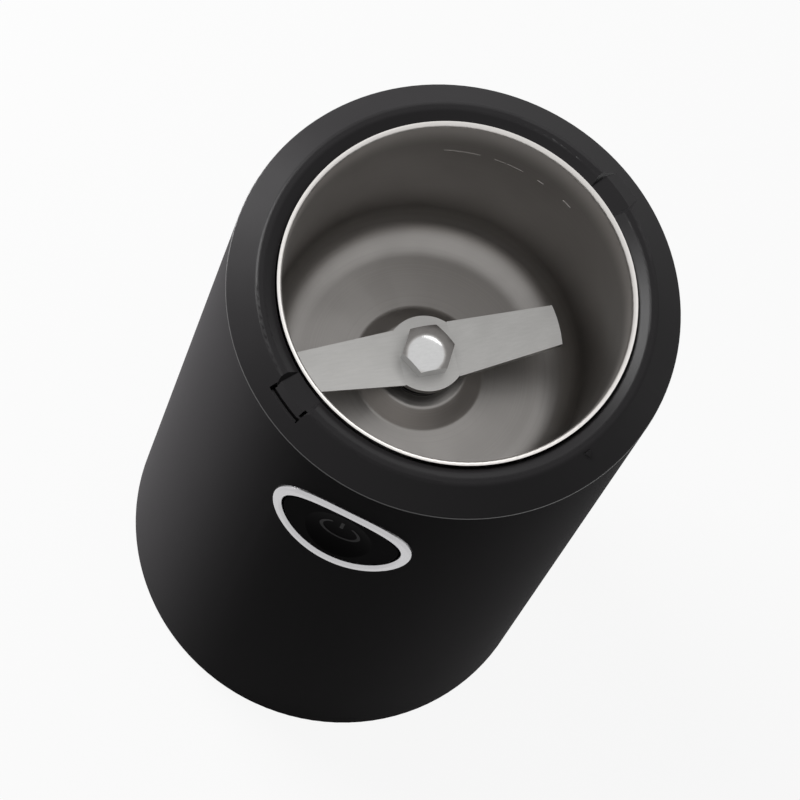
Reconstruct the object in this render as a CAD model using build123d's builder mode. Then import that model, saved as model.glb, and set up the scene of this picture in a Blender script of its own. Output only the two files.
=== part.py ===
"""An electric blade grinder for the kitchen, as the pieces that it comes apart into.

The origin is on the table under the middle of the body. +Z runs up the motor's shaft and -Y points
towards the start button. Lengths are in millimetres and angles in degrees.
"""

import math
import os

from build123d import *

os.makedirs("parts", exist_ok=True)

# Whole object
body_diameter = 95.0
rim_height = 165.0
ring_width = 9.9  # from the bowl's lip to the outside of the body
foot_proud = 1.5  # how far the feet hold the body off the table

# Clearances and cuts
slip_gap = 0.2  # between moulded pieces that slip together
press_gap = 0.02  # round a piece that is pressed or screwed into its seat
running_gap = 0.05  # round a shaft that turns
slide_gap = 0.3  # round a button or plunger that slides
brush_gap = 0.1  # round a brush in its holder
overrun = 1.0  # how far a cut runs past the face that it opens

# Body shell
body_wall = 2.2
body_edge_round = 0.8
seam_break = 0.25
ledge_width = 1.5
ledge_height = 2.0

# Base cover, feet and base screws
base_recess = 1.0
base_thickness = 2.7
base_space = 9.8  # free height between the base cover and the end of the shaft
foot_count = 4
foot_radius = 6.0
foot_edge_gap = 3.5
foot_pocket = 0.9
foot_round = 0.6
vent_count = 16
vent_width = 2.4
vent_length = 14.0
vent_circle = 20.0
base_screw_radius = 1.5
base_screw_head_radius = 2.8
base_screw_head_height = 1.3
base_screw_grip = 9.0

# Top collar
collar_gap = 0.25  # between the bowl's lip and the collar
collar_drop = 4.7  # from the lip down to the seam with the shell
collar_land = 0.7
land_round = 0.35
groove_drop = 1.1  # from the lip down to the groove beside it and to the floor of the notches
crest_drop = 0.05
crest_start = 2.6
crest_width = 1.5
crest_round = 1.4
plate_depth = 5.6
skirt_wall = 1.7
collar_boss_radius = 2.6
collar_screw_count = 4
collar_screw_start = 22.5
collar_screw_radius = 1.3
collar_screw_head_radius = 2.4
collar_screw_head_height = 1.6
collar_screw_grip = 6.0

# Notches for the lid's tabs and the pointer on the collar
lock_angle = 240.6
notch_sweep = 8.8  # at the lowest level of the notch
notch_draft = 38.0
notch_drop = 2.2  # from the lip down to the lowest level of the notch
notch_slope = 21.0
bend_reach = 0.4  # from the crest out to where the notch's floor starts to slope
slit_reach = 2.9  # from the crest out to the outer edge of the slit
slit_sweep = 11.8
hook_length = 0.6
hook_sweep = 1.0
key_reach = 1.6  # from the crest out to the outer end of the keyhole
key_length = 1.8
key_sweep = 1.0
key_depth = 2.0
pointer_angle = 333.4
pointer_reach = 0.8  # from the crest out to the middle of the pointer
pointer_length = 1.5
pointer_width = 1.7
pointer_rise = 0.3

# Grinding bowl and shaft seal
bowl_depth = 48.0
bowl_wall = 0.65
bowl_draft = 2.4  # how much narrower the bowl is at its floor than at its mouth
bowl_corner = 9.0
lip_flare = 0.6
lip_height = 1.8
lip_round = 1.8
bowl_boss_rise = 3.0
bowl_boss_radius = 10.0
bowl_boss_run = 4.0
bowl_boss_round = 1.6
seal_radius = 5.2
seal_flange_radius = 7.2
seal_flange = 1.2

# Blade, its hub and its nut
blade_angle = 38.0
blade_gap = 5.3  # from the tips to the wall of the bowl at its floor
blade_thickness = 1.5
blade_disc_radius = 8.5
wing_root_radius = 6.0
wing_root_width = 12.5
wing_tip_width = 9.0
wing_bevel = 2.4
wing_edge = 0.35
wing_pitch = 11.0
wing_rise_high = 4.6
wing_rise_low = 1.8
hub_gap = 0.6
hub_radius = 7.0
hub_height = 3.6
hub_round = 0.8
nut_flats = 10.0
nut_height = 3.0
nut_dome = 1.8
nut_cover = 1.4  # metal above the end of the shaft

# Inner frame
flange_drop = 14.0
flange_thickness = 2.0
floor_thickness = 3.0
floor_bore_radius = 9.0
pillar_count = 4
pillar_start = 45.0
pillar_radius = 3.0
pillar_gap = 0.5
cheek_thickness = 1.4

# Motor
shaft_radius = 3.0
shaft_tail = 2.0
shaft_chamfer = 0.6
mount_height = 5.8
mount_radius = 4.0
mount_spread_x = 19.0
mount_spread_y = 9.0
mount_screw_radius = 1.5
mount_screw_head_radius = 2.7
mount_screw_head_height = 1.4
bracket_thickness = 3.0
bracket_width = 26.0
bracket_round = 6.0
bracket_rim = 1.0
upper_boss_radius = 10.5
upper_boss_gap = 1.3
upper_bearing_radius = 8.0
lower_boss_radius = 9.0
lower_bearing_radius = 6.5
lower_bearing_height = 7.0
bearing_lip = 1.0
bearing_chamfer = 0.5
lip_hole_gap = 1.0
leg_radius = 3.4
bolt_radius = 1.5
bolt_gap = 0.2
bolt_head_radius = 2.9
bolt_head_height = 2.4
armature_share = 0.4655  # of the stator's radius, as the next two shares
yoke_share = 0.15
neck_share = 0.45
slot_share = 0.129  # of the armature's radius, as the next share
winding_bore_share = 0.3225
slot_mouth_share = 0.8  # of the slot's radius
slot_count = 12
slot_cover = 2.1  # metal left outside the slots
winding_overhang = 7.0
winding_clear = 0.3
winding_inset = 1.1
winding_round = 2.6
air_gap = 0.6
shoe_depth = 2.6
shoe_sweep = 118.0
motor_gap = 4.0  # from the pillars to the stator
stator_inset = 1.0
coil_gap = 0.4
coil_sweep = 98.0
coil_overhang = 5.6
commutator_radius = 10.0
commutator_length = 14.0
commutator_gap = 7.0
winding_gap = 2.0
riser_radius = 11.6
riser_height = 2.2
bar_slot_width = 0.6
bar_slot_depth = 1.3
fan_side_gap = 3.0
fan_height = 6.5
fan_gap = 1.5
fan_disc = 1.4
fan_hub_radius = 6.0
fan_blade_count = 9
fan_blade_thickness = 1.2
fan_blade_lean = 32.0

# Brushes
brush_width = 6.0
brush_depth = 5.0
brush_length = 11.0
brush_lift = 2.5  # how far a brush can be pushed back from the commutator
holder_wall = 1.4
holder_start_gap = 1.8
brush_spring_pressed = 2.3  # length of the spring behind a brush that is pushed back
brush_spring_radius = 1.7
brush_spring_wire = 0.4
brush_spring_turns = 4
cap_plug = 1.2
cap_flange = 1.2
brush_post_width = 10.0
brush_post_length = 8.0
brush_arm_width = 14.0
brush_arm_rim = 2.0

# Start button
button_drop = 31.9  # from the lip down to the middle of the button
button_radius = 13.1
button_proud = 0.45
button_dish = 1.0
button_dish_radius = 11.4
button_web = 1.7
button_skirt_wall = 1.3
button_skirt_depth = 5.0
button_edge_round = 0.45
button_stroke = 1.6
button_post_radius = 2.6
button_post_length = 1.2
bezel_sleeve_wall = 1.3
bezel_sleeve_depth = 5.4
bezel_flange_width = 2.4
bezel_proud = 0.95
bezel_round = 0.7
button_spring_radius = 8.3
button_spring_wire = 0.7
button_spring_turns = 3

# Small switches, shared by the start button and the lid interlock
switch_length = 12.8
switch_width = 5.6
switch_depth = 5.0
switch_round = 0.5
switch_margin = 0.4  # what still stands out of a switch when it is pressed home
contact_radius = 1.2
contact_depth = 2.4  # how deep the plunger reaches into its switch
bracket_plate = 1.5
bracket_reach = 2.0  # from the switch's front face back to the bracket's front face
bracket_height = 10.0
switch_boss_radius = 2.4
switch_boss_gap = 0.4
switch_screw_radius = 1.0
switch_screw_head_radius = 1.9
switch_screw_head_height = 1.1
switch_screw_grip = 2.0

# Lid interlock
plunger_stroke = 2.0
tongue_thickness = 0.5
tongue_sweep = 10.6
tongue_sink = 1.8  # from the notch's floor down to the top of the tongue
plunger_width = 8.6
plunger_depth = 3.7
plunger_lip = 0.2  # how far the plunger stands out past its tongue
plunger_height = 3.0
stem_radius = 1.4
stem_inset = 2.2  # from the outer face of the tongue in to the stem's axis
interlock_spring_radius = 2.2
interlock_spring_wire = 0.4
interlock_spring_turns = 3

# Supply inlet
inlet_height = 14.0
grommet_bore = 3.2
grommet_wall = 2.2
grommet_lip = 1.6
grommet_proud = 0.9
grommet_inside = 1.4
clamp_width = 22.0
clamp_depth = 6.0
clamp_height = 4.0
clamp_inset = 8.0
clamp_post_radius = 3.0
clamp_screw_radius = 1.2
clamp_screw_head_radius = 2.3
clamp_screw_head_height = 1.4
clamp_screw_grip = 5.0
block_length = 20.0
block_width = 11.0
block_height = 8.0
block_ways = 2
block_place_x = 18.0
block_place_y = 8.0
block_hole_radius = 2.2
block_hole_depth = 4.0
suppressor_length = 18.0
suppressor_width = 8.5
suppressor_height = 8.5
suppressor_round = 1.0
suppressor_place_x = -18.0
suppressor_place_y = 8.0

# Radii that follow from the sizes above
body_radius = body_diameter / 2
body_bore = body_radius - body_wall
lip_radius = body_radius - ring_width
collar_bore = lip_radius + collar_gap
crest_inner = lip_radius + crest_start
crest_outer = crest_inner + crest_width
key_outer = crest_outer + key_reach
skirt_outer = body_bore - slip_gap
skirt_inner = skirt_outer - skirt_wall
notch_bend = crest_outer + bend_reach
slit_outer = crest_outer + slit_reach
slit_inner = slit_outer - tongue_thickness - 2 * slip_gap
bowl_mouth = lip_radius - bowl_wall - lip_flare
bowl_foot = bowl_mouth - bowl_draft
blade_tip_radius = bowl_foot - blade_gap
pillar_circle = body_bore - ledge_width - pillar_gap - pillar_radius
foot_circle = body_bore - slip_gap - foot_edge_gap - foot_radius
stator_radius = pillar_circle - pillar_radius - motor_gap
armature_radius = stator_radius * armature_share
yoke_width = stator_radius * yoke_share
neck_width = stator_radius * neck_share
slot_radius = armature_radius * slot_share
slot_mouth = slot_radius * slot_mouth_share
slot_circle = armature_radius - slot_cover - slot_radius
winding_inner_radius = armature_radius * winding_bore_share
winding_outer_radius = armature_radius - winding_inset
pole_bore = armature_radius + air_gap
shoe_radius = pole_bore + shoe_depth
yoke_bore = stator_radius - yoke_width
bolt_circle = stator_radius - yoke_width / 2
fan_radius = bolt_circle - leg_radius - fan_side_gap
collar_screw_circle = skirt_inner - collar_boss_radius / 2
bezel_bore = button_radius + slide_gap
bezel_sleeve_radius = bezel_bore + bezel_sleeve_wall
bezel_flange_radius = bezel_bore + bezel_flange_width
brush_spring_length = brush_spring_pressed + brush_lift

# Heights that follow from the sizes above
base_bottom = foot_proud + base_recess
base_top = base_bottom + base_thickness
seam_height = rim_height - collar_drop
plate_bottom = rim_height - plate_depth
notch_floor = rim_height - groove_drop
notch_base = rim_height - notch_drop
notch_runout = notch_floor - (body_radius - notch_bend) * math.tan(math.radians(notch_slope))
flange_top = rim_height - flange_drop
flange_bottom = flange_top - flange_thickness
bowl_floor = rim_height - bowl_depth
bowl_boss_top = bowl_floor + bowl_boss_rise
floor_top = bowl_floor - bowl_wall
floor_bottom = floor_top - floor_thickness
top_plate_top = floor_bottom - mount_height
top_plate_bottom = top_plate_top - bracket_thickness
upper_boss_top = floor_bottom - upper_boss_gap
fan_top = top_plate_bottom - fan_gap
fan_bottom = fan_top - fan_height
winding_top = fan_bottom - fan_gap
core_top = winding_top - winding_overhang
shaft_bottom = base_top + base_space
lower_boss_bottom = shaft_bottom + shaft_tail
bottom_plate_top = lower_boss_bottom + lower_bearing_height
bottom_plate_bottom = bottom_plate_top - bracket_thickness
commutator_bottom = bottom_plate_top + commutator_gap
commutator_top = commutator_bottom + commutator_length
winding_bottom = commutator_top + winding_gap
core_bottom = winding_bottom + winding_overhang
stator_bottom = core_bottom + stator_inset
stator_top = core_top - stator_inset
brush_height = commutator_bottom + (commutator_length - riser_height) / 2
holder_bottom = brush_height - brush_depth / 2 - brush_gap - holder_wall
hub_bottom = bowl_boss_top + seal_flange + hub_gap
blade_bottom = hub_bottom + hub_height
blade_top = blade_bottom + blade_thickness
shaft_top = blade_top + nut_height + nut_dome - nut_cover
button_height = rim_height - button_drop

# Places along -Y of the button and of what it presses
dish_front = body_radius + button_proud - button_dish
web_back = dish_front - button_web
contact_front = web_back - button_post_length
switch_front = contact_front - button_stroke - switch_margin
bracket_front = switch_front - bracket_reach

# Places of the lid interlock, outwards from the axis and upwards
tongue_outer = slit_outer - slip_gap
tongue_inner = tongue_outer - tongue_thickness
tongue_top = notch_floor - tongue_sink
plunger_outer = tongue_outer + plunger_lip
plunger_top = plate_bottom - slip_gap
plunger_bottom = plunger_top - plunger_height
stem_circle = tongue_outer - stem_inset
interlock_contact_top = flange_bottom - plunger_stroke - switch_margin
interlock_switch_top = interlock_contact_top - plunger_stroke - switch_margin
cheek_reach = switch_length / 2 + press_gap + cheek_thickness
interlock_switch_outer = math.sqrt(skirt_outer**2 - cheek_reach**2)


def turned(angle, height=0.0):
    """A level plane whose X axis points out from the axis at this angle."""
    turn = math.radians(angle)
    return Plane(origin=(0, 0, height), x_dir=(math.cos(turn), math.sin(turn), 0), z_dir=(0, 0, 1))


def sector(inner, outer, start, sweep):
    """A flat slice of a ring."""
    with BuildSketch() as slice_of_ring:
        with BuildLine():
            outside = CenterArc((0, 0), outer, start, sweep)
            inside = CenterArc((0, 0), inner, start, sweep)
            Line(outside @ 0, inside @ 0)
            Line(outside @ 1, inside @ 1)
        make_face()
    return slice_of_ring.sketch


def coil_spring(seat, radius, wire, length, turns):
    """A round-wire spring that stands on a plane and winds along its normal, a biarc to each quarter."""
    steps = 4 * turns
    rise = length - wire
    stations = []
    for step in range(steps + 1):
        turn = 2 * math.pi * turns * step / steps
        point = Vector(radius * math.cos(turn), radius * math.sin(turn), wire / 2 + rise * step / steps)
        way = Vector(-radius * math.sin(turn), radius * math.cos(turn), rise / (2 * math.pi * turns))
        stations.append((seat.from_local_coords(point), seat.from_local_coords(point + way.normalized())))
    with BuildPart() as spring:
        with BuildLine() as path:
            for (start, start_ahead), (end, end_ahead) in zip(stations, stations[1:]):
                start_way = start_ahead - start
                end_way = end_ahead - end
                chord = end - start
                along = chord.dot(start_way + end_way)
                spread = 2 * (1 - start_way.dot(end_way))
                reach = (math.sqrt(along**2 + spread * chord.dot(chord)) - along) / spread
                first = start + start_way * reach
                second = end - end_way * reach
                middle = (first + second) * 0.5
                TangentArc(start, middle, tangent=start_way)
                TangentArc(middle, end, tangent=second - first)
        with BuildSketch(Plane(origin=path.line @ 0, z_dir=path.line % 0)):
            Circle(wire / 2)
        sweep(path=path.line)
    print(f"spring of {turns} turns: least gap to itself {rise / turns - wire:.2f} mm")
    return spring


# Body shell: a straight tube with a ledge for the base cover and holes for button and inlet
with BuildPart() as body_shell:
    with BuildSketch(Plane.XZ):
        with BuildLine():
            ledge_bore = body_bore - ledge_width
            Polyline(
                (body_radius, foot_proud),
                (body_radius, seam_height),
                (body_bore, seam_height),
                (body_bore, base_top + ledge_height),
                (ledge_bore, base_top + ledge_height),
                (ledge_bore, base_top),
                (body_bore, base_top),
                (body_bore, foot_proud),
                close=True,
            )
        make_face()
    revolve(axis=Axis.Z)
    outer_edges = body_shell.edges().filter_by(GeomType.CIRCLE).group_by(SortBy.RADIUS)[-1]
    fillet(outer_edges.sort_by(Axis.Z)[0], body_edge_round)
    top_edges = body_shell.edges().filter_by(GeomType.CIRCLE).group_by(SortBy.RADIUS)[-1]
    chamfer(top_edges.sort_by(Axis.Z)[-1], seam_break)
    with BuildSketch(Plane.XZ.offset(bracket_front)):
        switch_boss_place = bezel_sleeve_radius + switch_boss_gap + switch_boss_radius
        with Locations((-switch_boss_place, button_height), (switch_boss_place, button_height)):
            Circle(switch_boss_radius)
    extrude(until=Until.NEXT)
    with BuildSketch(Plane.XZ.offset(bracket_front)):
        with Locations((-switch_boss_place, button_height), (switch_boss_place, button_height)):
            Circle(switch_screw_radius + press_gap)
    extrude(amount=switch_screw_grip + slip_gap, mode=Mode.SUBTRACT)
    with BuildSketch(Plane.XZ):
        with Locations((0, button_height)):
            Circle(bezel_sleeve_radius + slip_gap)
    extrude(amount=body_radius + overrun, mode=Mode.SUBTRACT)
    with BuildSketch(Plane.XZ):
        with Locations((0, inlet_height)):
            Circle(grommet_bore + grommet_wall + slip_gap)
    extrude(amount=-body_radius - overrun, mode=Mode.SUBTRACT)

# Base cover: a vented disc with foot pockets, screw holes and the saddle for the supply lead
clamp_place = body_bore - clamp_inset - clamp_depth / 2
clamp_post_place = clamp_width / 2 - clamp_post_radius
with BuildPart() as base_cover:
    with BuildSketch(Plane.XY.offset(base_bottom)):
        Circle(body_bore - slip_gap)
        with PolarLocations(vent_circle, vent_count):
            SlotOverall(vent_length, vent_width, mode=Mode.SUBTRACT)
    extrude(amount=base_thickness)
    with BuildSketch(Plane.XY.offset(base_bottom)):
        with PolarLocations(foot_circle, foot_count):
            Circle(foot_radius + slip_gap)
    extrude(amount=foot_pocket, mode=Mode.SUBTRACT)
    with BuildSketch(Plane.XY.offset(base_bottom)):
        with PolarLocations(pillar_circle, pillar_count, start_angle=pillar_start):
            Circle(base_screw_radius + slip_gap)
    extrude(amount=base_thickness, mode=Mode.SUBTRACT)
    with BuildSketch(Plane.XY.offset(base_bottom)):
        with PolarLocations(pillar_circle, pillar_count, start_angle=pillar_start):
            Circle(base_screw_head_radius + slip_gap)
    extrude(amount=base_screw_head_height, mode=Mode.SUBTRACT)
    with BuildSketch(Plane.XY.offset(base_top)):
        with Locations((-clamp_post_place, clamp_place), (clamp_post_place, clamp_place)):
            Circle(clamp_post_radius)
        with Locations((0, clamp_place)):
            Rectangle(clamp_width - 2 * clamp_post_radius, clamp_depth)
    extrude(amount=inlet_height - base_top)
    with BuildSketch(Plane.XY.offset(inlet_height)):
        with Locations((-clamp_post_place, clamp_place), (clamp_post_place, clamp_place)):
            Circle(clamp_screw_radius + press_gap)
    extrude(amount=-clamp_screw_grip - slip_gap, mode=Mode.SUBTRACT)
    with BuildSketch(Plane.XZ):
        with Locations((0, inlet_height)):
            Circle(grommet_bore)
    extrude(amount=-body_radius, mode=Mode.SUBTRACT)

with BuildPart() as rubber_feet:
    with BuildSketch():
        with PolarLocations(foot_circle, foot_count):
            Circle(foot_radius)
    extrude(amount=base_bottom + foot_pocket)
    chamfer(rubber_feet.edges().group_by(Axis.Z)[0], foot_round)

with BuildPart() as base_screws:
    with BuildSketch(Plane.XY.offset(base_bottom)):
        with PolarLocations(pillar_circle, pillar_count, start_angle=pillar_start):
            Circle(base_screw_head_radius)
    extrude(amount=base_screw_head_height)
    with BuildSketch(Plane.XY.offset(base_bottom)):
        with PolarLocations(pillar_circle, pillar_count, start_angle=pillar_start):
            Circle(base_screw_radius)
    extrude(amount=base_thickness + base_screw_grip)

# Notch for a tab of the lid: a floor that slopes down outwards, between drafted ends
with BuildPart() as notch_cutter:
    with BuildSketch(Plane.XY.offset(notch_base)):
        add(sector(collar_bore - overrun, body_radius, -notch_sweep / 2, notch_sweep))
    extrude(amount=notch_drop + overrun, taper=-notch_draft)
    with BuildSketch(Plane.XZ):
        with BuildLine():
            Polyline(
                (0, notch_floor),
                (notch_bend, notch_floor),
                (body_radius, notch_runout),
                (2 * body_radius, notch_runout),
                (2 * body_radius, rim_height + overrun),
                (0, rim_height + overrun),
                close=True,
            )
        make_face()
    revolve(axis=Axis.Z, mode=Mode.INTERSECT)

# Top collar: crest and sloping face over a skirt, with two notches for the lid's tabs
cone_run = body_radius - crest_outer
cone_fall = collar_drop - collar_land - crest_drop
with BuildPart() as top_collar:
    with BuildSketch(Plane.XZ) as collar_profile:
        with BuildLine():
            Polyline(
                (collar_bore, plate_bottom),
                (collar_bore, rim_height - groove_drop),
                (crest_inner, rim_height - crest_drop),
                (crest_outer, rim_height - crest_drop),
                (body_radius, seam_height + collar_land),
                (body_radius, seam_height),
                (skirt_outer, seam_height),
                (skirt_outer, flange_top),
                (skirt_inner, flange_top),
                (skirt_inner, plate_bottom),
                close=True,
            )
        make_face()
        crest_corners = collar_profile.vertices().group_by(Axis.Y)[-1]
        fillet(crest_corners, crest_round)
        land_corner = collar_profile.vertices().group_by(Axis.X)[-1].sort_by(Axis.Y)[-1]
        fillet(land_corner, land_round)
    revolve(axis=Axis.Z)
    with BuildSketch(Plane.XY.offset(flange_top)):
        with PolarLocations(collar_screw_circle, collar_screw_count, start_angle=collar_screw_start):
            Circle(collar_boss_radius)
    extrude(amount=plate_bottom - flange_top)
    with BuildSketch(Plane.XY.offset(flange_top)):
        with PolarLocations(collar_screw_circle, collar_screw_count, start_angle=collar_screw_start):
            Circle(collar_screw_radius + press_gap)
    extrude(amount=collar_screw_grip + slip_gap, mode=Mode.SUBTRACT)
    # Notches across the crest; the near one also has a hooked slit for the interlock, and a keyhole
    with Locations(Rot(0, 0, lock_angle), Rot(0, 0, lock_angle + 180)):
        add(notch_cutter.part, mode=Mode.SUBTRACT)
    with BuildSketch(turned(lock_angle, plate_bottom)):
        add(sector(slit_inner, slit_outer, -slit_sweep / 2, slit_sweep))
        add(sector(slit_inner - hook_length, slit_outer, -slit_sweep / 2, hook_sweep))
    extrude(amount=plate_depth, mode=Mode.SUBTRACT)
    with BuildSketch(turned(lock_angle, notch_floor - key_depth)):
        add(sector(key_outer - key_length, key_outer, slit_sweep / 2 - key_sweep, key_sweep))
    extrude(amount=key_depth + groove_drop, mode=Mode.SUBTRACT)
    window_sweep = 2 * math.degrees(math.asin((plunger_width / 2 + 2 * slide_gap) / skirt_inner))
    with BuildSketch(turned(lock_angle, flange_top)):
        add(sector(skirt_inner - overrun, skirt_outer + overrun, -window_sweep / 2, window_sweep))
    extrude(amount=plate_bottom - flange_top, mode=Mode.SUBTRACT)
    # Pointer that the lid is lined up with
    cone_share = pointer_reach / cone_run
    pointer_circle = crest_outer + pointer_reach
    pointer_height = rim_height - crest_drop - cone_fall * cone_share
    turn = math.radians(pointer_angle)
    outward = Vector(math.cos(turn), math.sin(turn), 0)
    downhill = outward * cone_run - Vector(0, 0, cone_fall)
    across = Vector(-math.sin(turn), math.cos(turn), 0)
    pointer_plane = Plane(
        origin=outward * pointer_circle + Vector(0, 0, pointer_height - pointer_rise),
        x_dir=downhill,
        z_dir=downhill.cross(across),
    )
    with BuildSketch(pointer_plane):
        Triangle(a=pointer_width, b=pointer_length, c=pointer_length, rotation=-90)
    extrude(amount=2 * pointer_rise)

with BuildPart() as collar_screws:
    with BuildSketch(Plane.XY.offset(flange_bottom - collar_screw_head_height)):
        with PolarLocations(collar_screw_circle, collar_screw_count, start_angle=collar_screw_start):
            Circle(collar_screw_head_radius)
    extrude(amount=collar_screw_head_height)
    with BuildSketch(Plane.XY.offset(flange_bottom)):
        with PolarLocations(collar_screw_circle, collar_screw_count, start_angle=collar_screw_start):
            Circle(collar_screw_radius)
    extrude(amount=flange_thickness + collar_screw_grip)

# Grinding bowl: drawn from one sheet, with a flared lip and a raised middle for the seal
with BuildPart() as grinding_bowl:
    with BuildSketch(Plane.XZ):
        with BuildLine():
            FilletPolyline(
                (lip_radius - bowl_wall, rim_height),
                (bowl_mouth, rim_height - lip_height),
                (bowl_foot, bowl_floor),
                (bowl_boss_radius + bowl_boss_run, bowl_floor),
                (bowl_boss_radius, bowl_boss_top),
                (seal_radius, bowl_boss_top),
                radius=[lip_round, bowl_corner, bowl_boss_round, bowl_boss_round],
            )
            offset(amount=bowl_wall, side=Side.LEFT)
        make_face()
    revolve(axis=Axis.Z)

with BuildPart() as shaft_seal:
    with BuildSketch(Plane.XZ):
        with BuildLine():
            Polyline(
                (shaft_radius + running_gap, bowl_boss_top + seal_flange),
                (seal_flange_radius, bowl_boss_top + seal_flange),
                (seal_flange_radius, bowl_boss_top),
                (seal_radius - press_gap, bowl_boss_top),
                (seal_radius - press_gap, bowl_boss_top - bowl_wall),
                (seal_flange_radius, bowl_boss_top - bowl_wall),
                (seal_flange_radius, bowl_boss_top - bowl_wall - seal_flange),
                (shaft_radius + running_gap, bowl_boss_top - bowl_wall - seal_flange),
                close=True,
            )
        make_face()
    revolve(axis=Axis.Z)

# Blade: two bevelled wings lofted from the flat middle out to a raised and pitched tip
with BuildPart() as blade:
    with BuildSketch(Plane.XY.offset(blade_bottom)):
        Circle(blade_disc_radius)
    extrude(amount=blade_thickness)
    for wing, rise in enumerate((wing_rise_high, wing_rise_low)):
        turn = math.radians(blade_angle + 180 * wing)
        outward = Vector(math.cos(turn), math.sin(turn), 0)
        across = Vector(-math.sin(turn), math.cos(turn), 0)
        middle_height = blade_bottom + blade_thickness / 2
        root = Plane(
            origin=outward * wing_root_radius + Vector(0, 0, middle_height), x_dir=across, z_dir=outward
        )
        tip = Plane(
            origin=outward * (blade_tip_radius + overrun) + Vector(0, 0, middle_height + rise),
            x_dir=across,
            z_dir=outward,
        ).rotated((0, 0, -wing_pitch))
        for plane, width in ((root, wing_root_width), (tip, wing_tip_width)):
            with BuildSketch(plane):
                with BuildLine():
                    Polyline(
                        (-width / 2, -blade_thickness / 2),
                        (width / 2 - wing_bevel, -blade_thickness / 2),
                        (width / 2, blade_thickness / 2 - wing_edge),
                        (width / 2, blade_thickness / 2),
                        (-width / 2, blade_thickness / 2),
                        close=True,
                    )
                make_face()
        loft()
    with BuildSketch(Plane.XY.offset(blade_bottom - blade_tip_radius)):
        Circle(blade_tip_radius)
    extrude(amount=2 * blade_tip_radius, mode=Mode.INTERSECT)
    with BuildSketch(Plane.XY.offset(blade_bottom - blade_tip_radius)):
        Circle(shaft_radius + press_gap)
    extrude(amount=2 * blade_tip_radius, mode=Mode.SUBTRACT)

with BuildPart() as blade_hub:
    with BuildSketch(Plane.XY.offset(hub_bottom)):
        Circle(hub_radius)
        Circle(shaft_radius + press_gap, mode=Mode.SUBTRACT)
    extrude(amount=hub_height)
    hub_rims = blade_hub.edges().filter_by(GeomType.CIRCLE).group_by(SortBy.RADIUS)[-1]
    fillet(hub_rims.sort_by(Axis.Z)[0], hub_round)

nut_corner = nut_flats / 2 / math.cos(math.pi / 6)
nut_ball = (nut_corner**2 + nut_dome**2) / (2 * nut_dome)
with BuildPart() as blade_nut:
    with BuildSketch(Plane.XY.offset(blade_top)):
        RegularPolygon(nut_flats / 2, 6, major_radius=False, rotation=blade_angle)
    extrude(amount=nut_height + nut_dome)
    with Locations((0, 0, blade_top + nut_height + nut_dome - nut_ball)):
        Sphere(nut_ball, mode=Mode.INTERSECT)
    with BuildSketch(Plane.XY.offset(blade_top)):
        Circle(shaft_radius + press_gap)
    extrude(amount=shaft_top - blade_top + press_gap, mode=Mode.SUBTRACT)

# Inner frame: flange under the collar, floor under the bowl and four pillars down to the base
cheek_place = cheek_reach - cheek_thickness / 2
cheek_middle = interlock_switch_outer - switch_width / 2
with BuildPart() as inner_frame:
    with BuildSketch(Plane.XY.offset(flange_bottom)):
        Circle(skirt_outer)
        Circle(lip_radius, mode=Mode.SUBTRACT)
        with PolarLocations(collar_screw_circle, collar_screw_count, start_angle=collar_screw_start):
            Circle(collar_screw_radius + slip_gap, mode=Mode.SUBTRACT)
    extrude(amount=flange_thickness)
    with BuildSketch(Plane.XY.offset(floor_bottom)):
        Circle(pillar_circle)
        Circle(floor_bore_radius, mode=Mode.SUBTRACT)
        with GridLocations(2 * mount_spread_x, 2 * mount_spread_y, 2, 2):
            Circle(mount_screw_radius + press_gap, mode=Mode.SUBTRACT)
    extrude(amount=floor_thickness)
    with BuildSketch(Plane.XY.offset(base_top)):
        with PolarLocations(pillar_circle, pillar_count, start_angle=pillar_start):
            Circle(pillar_radius)
    extrude(amount=flange_bottom - base_top)
    with BuildSketch(Plane.XY.offset(base_top)):
        with PolarLocations(pillar_circle, pillar_count, start_angle=pillar_start):
            Circle(base_screw_radius + press_gap)
    extrude(amount=base_screw_grip + slip_gap, mode=Mode.SUBTRACT)
    # Cheeks that hold the interlock switch and the hole that its stem comes through
    with BuildSketch(turned(lock_angle, flange_bottom)):
        with Locations((cheek_middle, -cheek_place), (cheek_middle, cheek_place)):
            Rectangle(switch_width, cheek_thickness)
    extrude(amount=interlock_switch_top - flange_bottom - switch_depth)
    with BuildSketch(turned(lock_angle, flange_bottom)):
        with Locations((stem_circle, 0)):
            Circle(stem_radius + slide_gap)
    extrude(amount=flange_thickness, mode=Mode.SUBTRACT)

# Motor: rubber mounts, screws, brackets, bearings and bolts
with BuildPart() as motor_mounts:
    with BuildSketch(Plane.XY.offset(top_plate_top)):
        with GridLocations(2 * mount_spread_x, 2 * mount_spread_y, 2, 2):
            Circle(mount_radius)
            Circle(mount_screw_radius + slip_gap, mode=Mode.SUBTRACT)
    extrude(amount=mount_height)

with BuildPart() as mount_screws:
    with BuildSketch(Plane.XY.offset(top_plate_bottom - mount_screw_head_height)):
        with GridLocations(2 * mount_spread_x, 2 * mount_spread_y, 2, 2):
            Circle(mount_screw_head_radius)
    extrude(amount=mount_screw_head_height)
    with BuildSketch(Plane.XY.offset(top_plate_bottom)):
        with GridLocations(2 * mount_spread_x, 2 * mount_spread_y, 2, 2):
            Circle(mount_screw_radius)
    extrude(amount=floor_top - top_plate_bottom - slip_gap)

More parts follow.
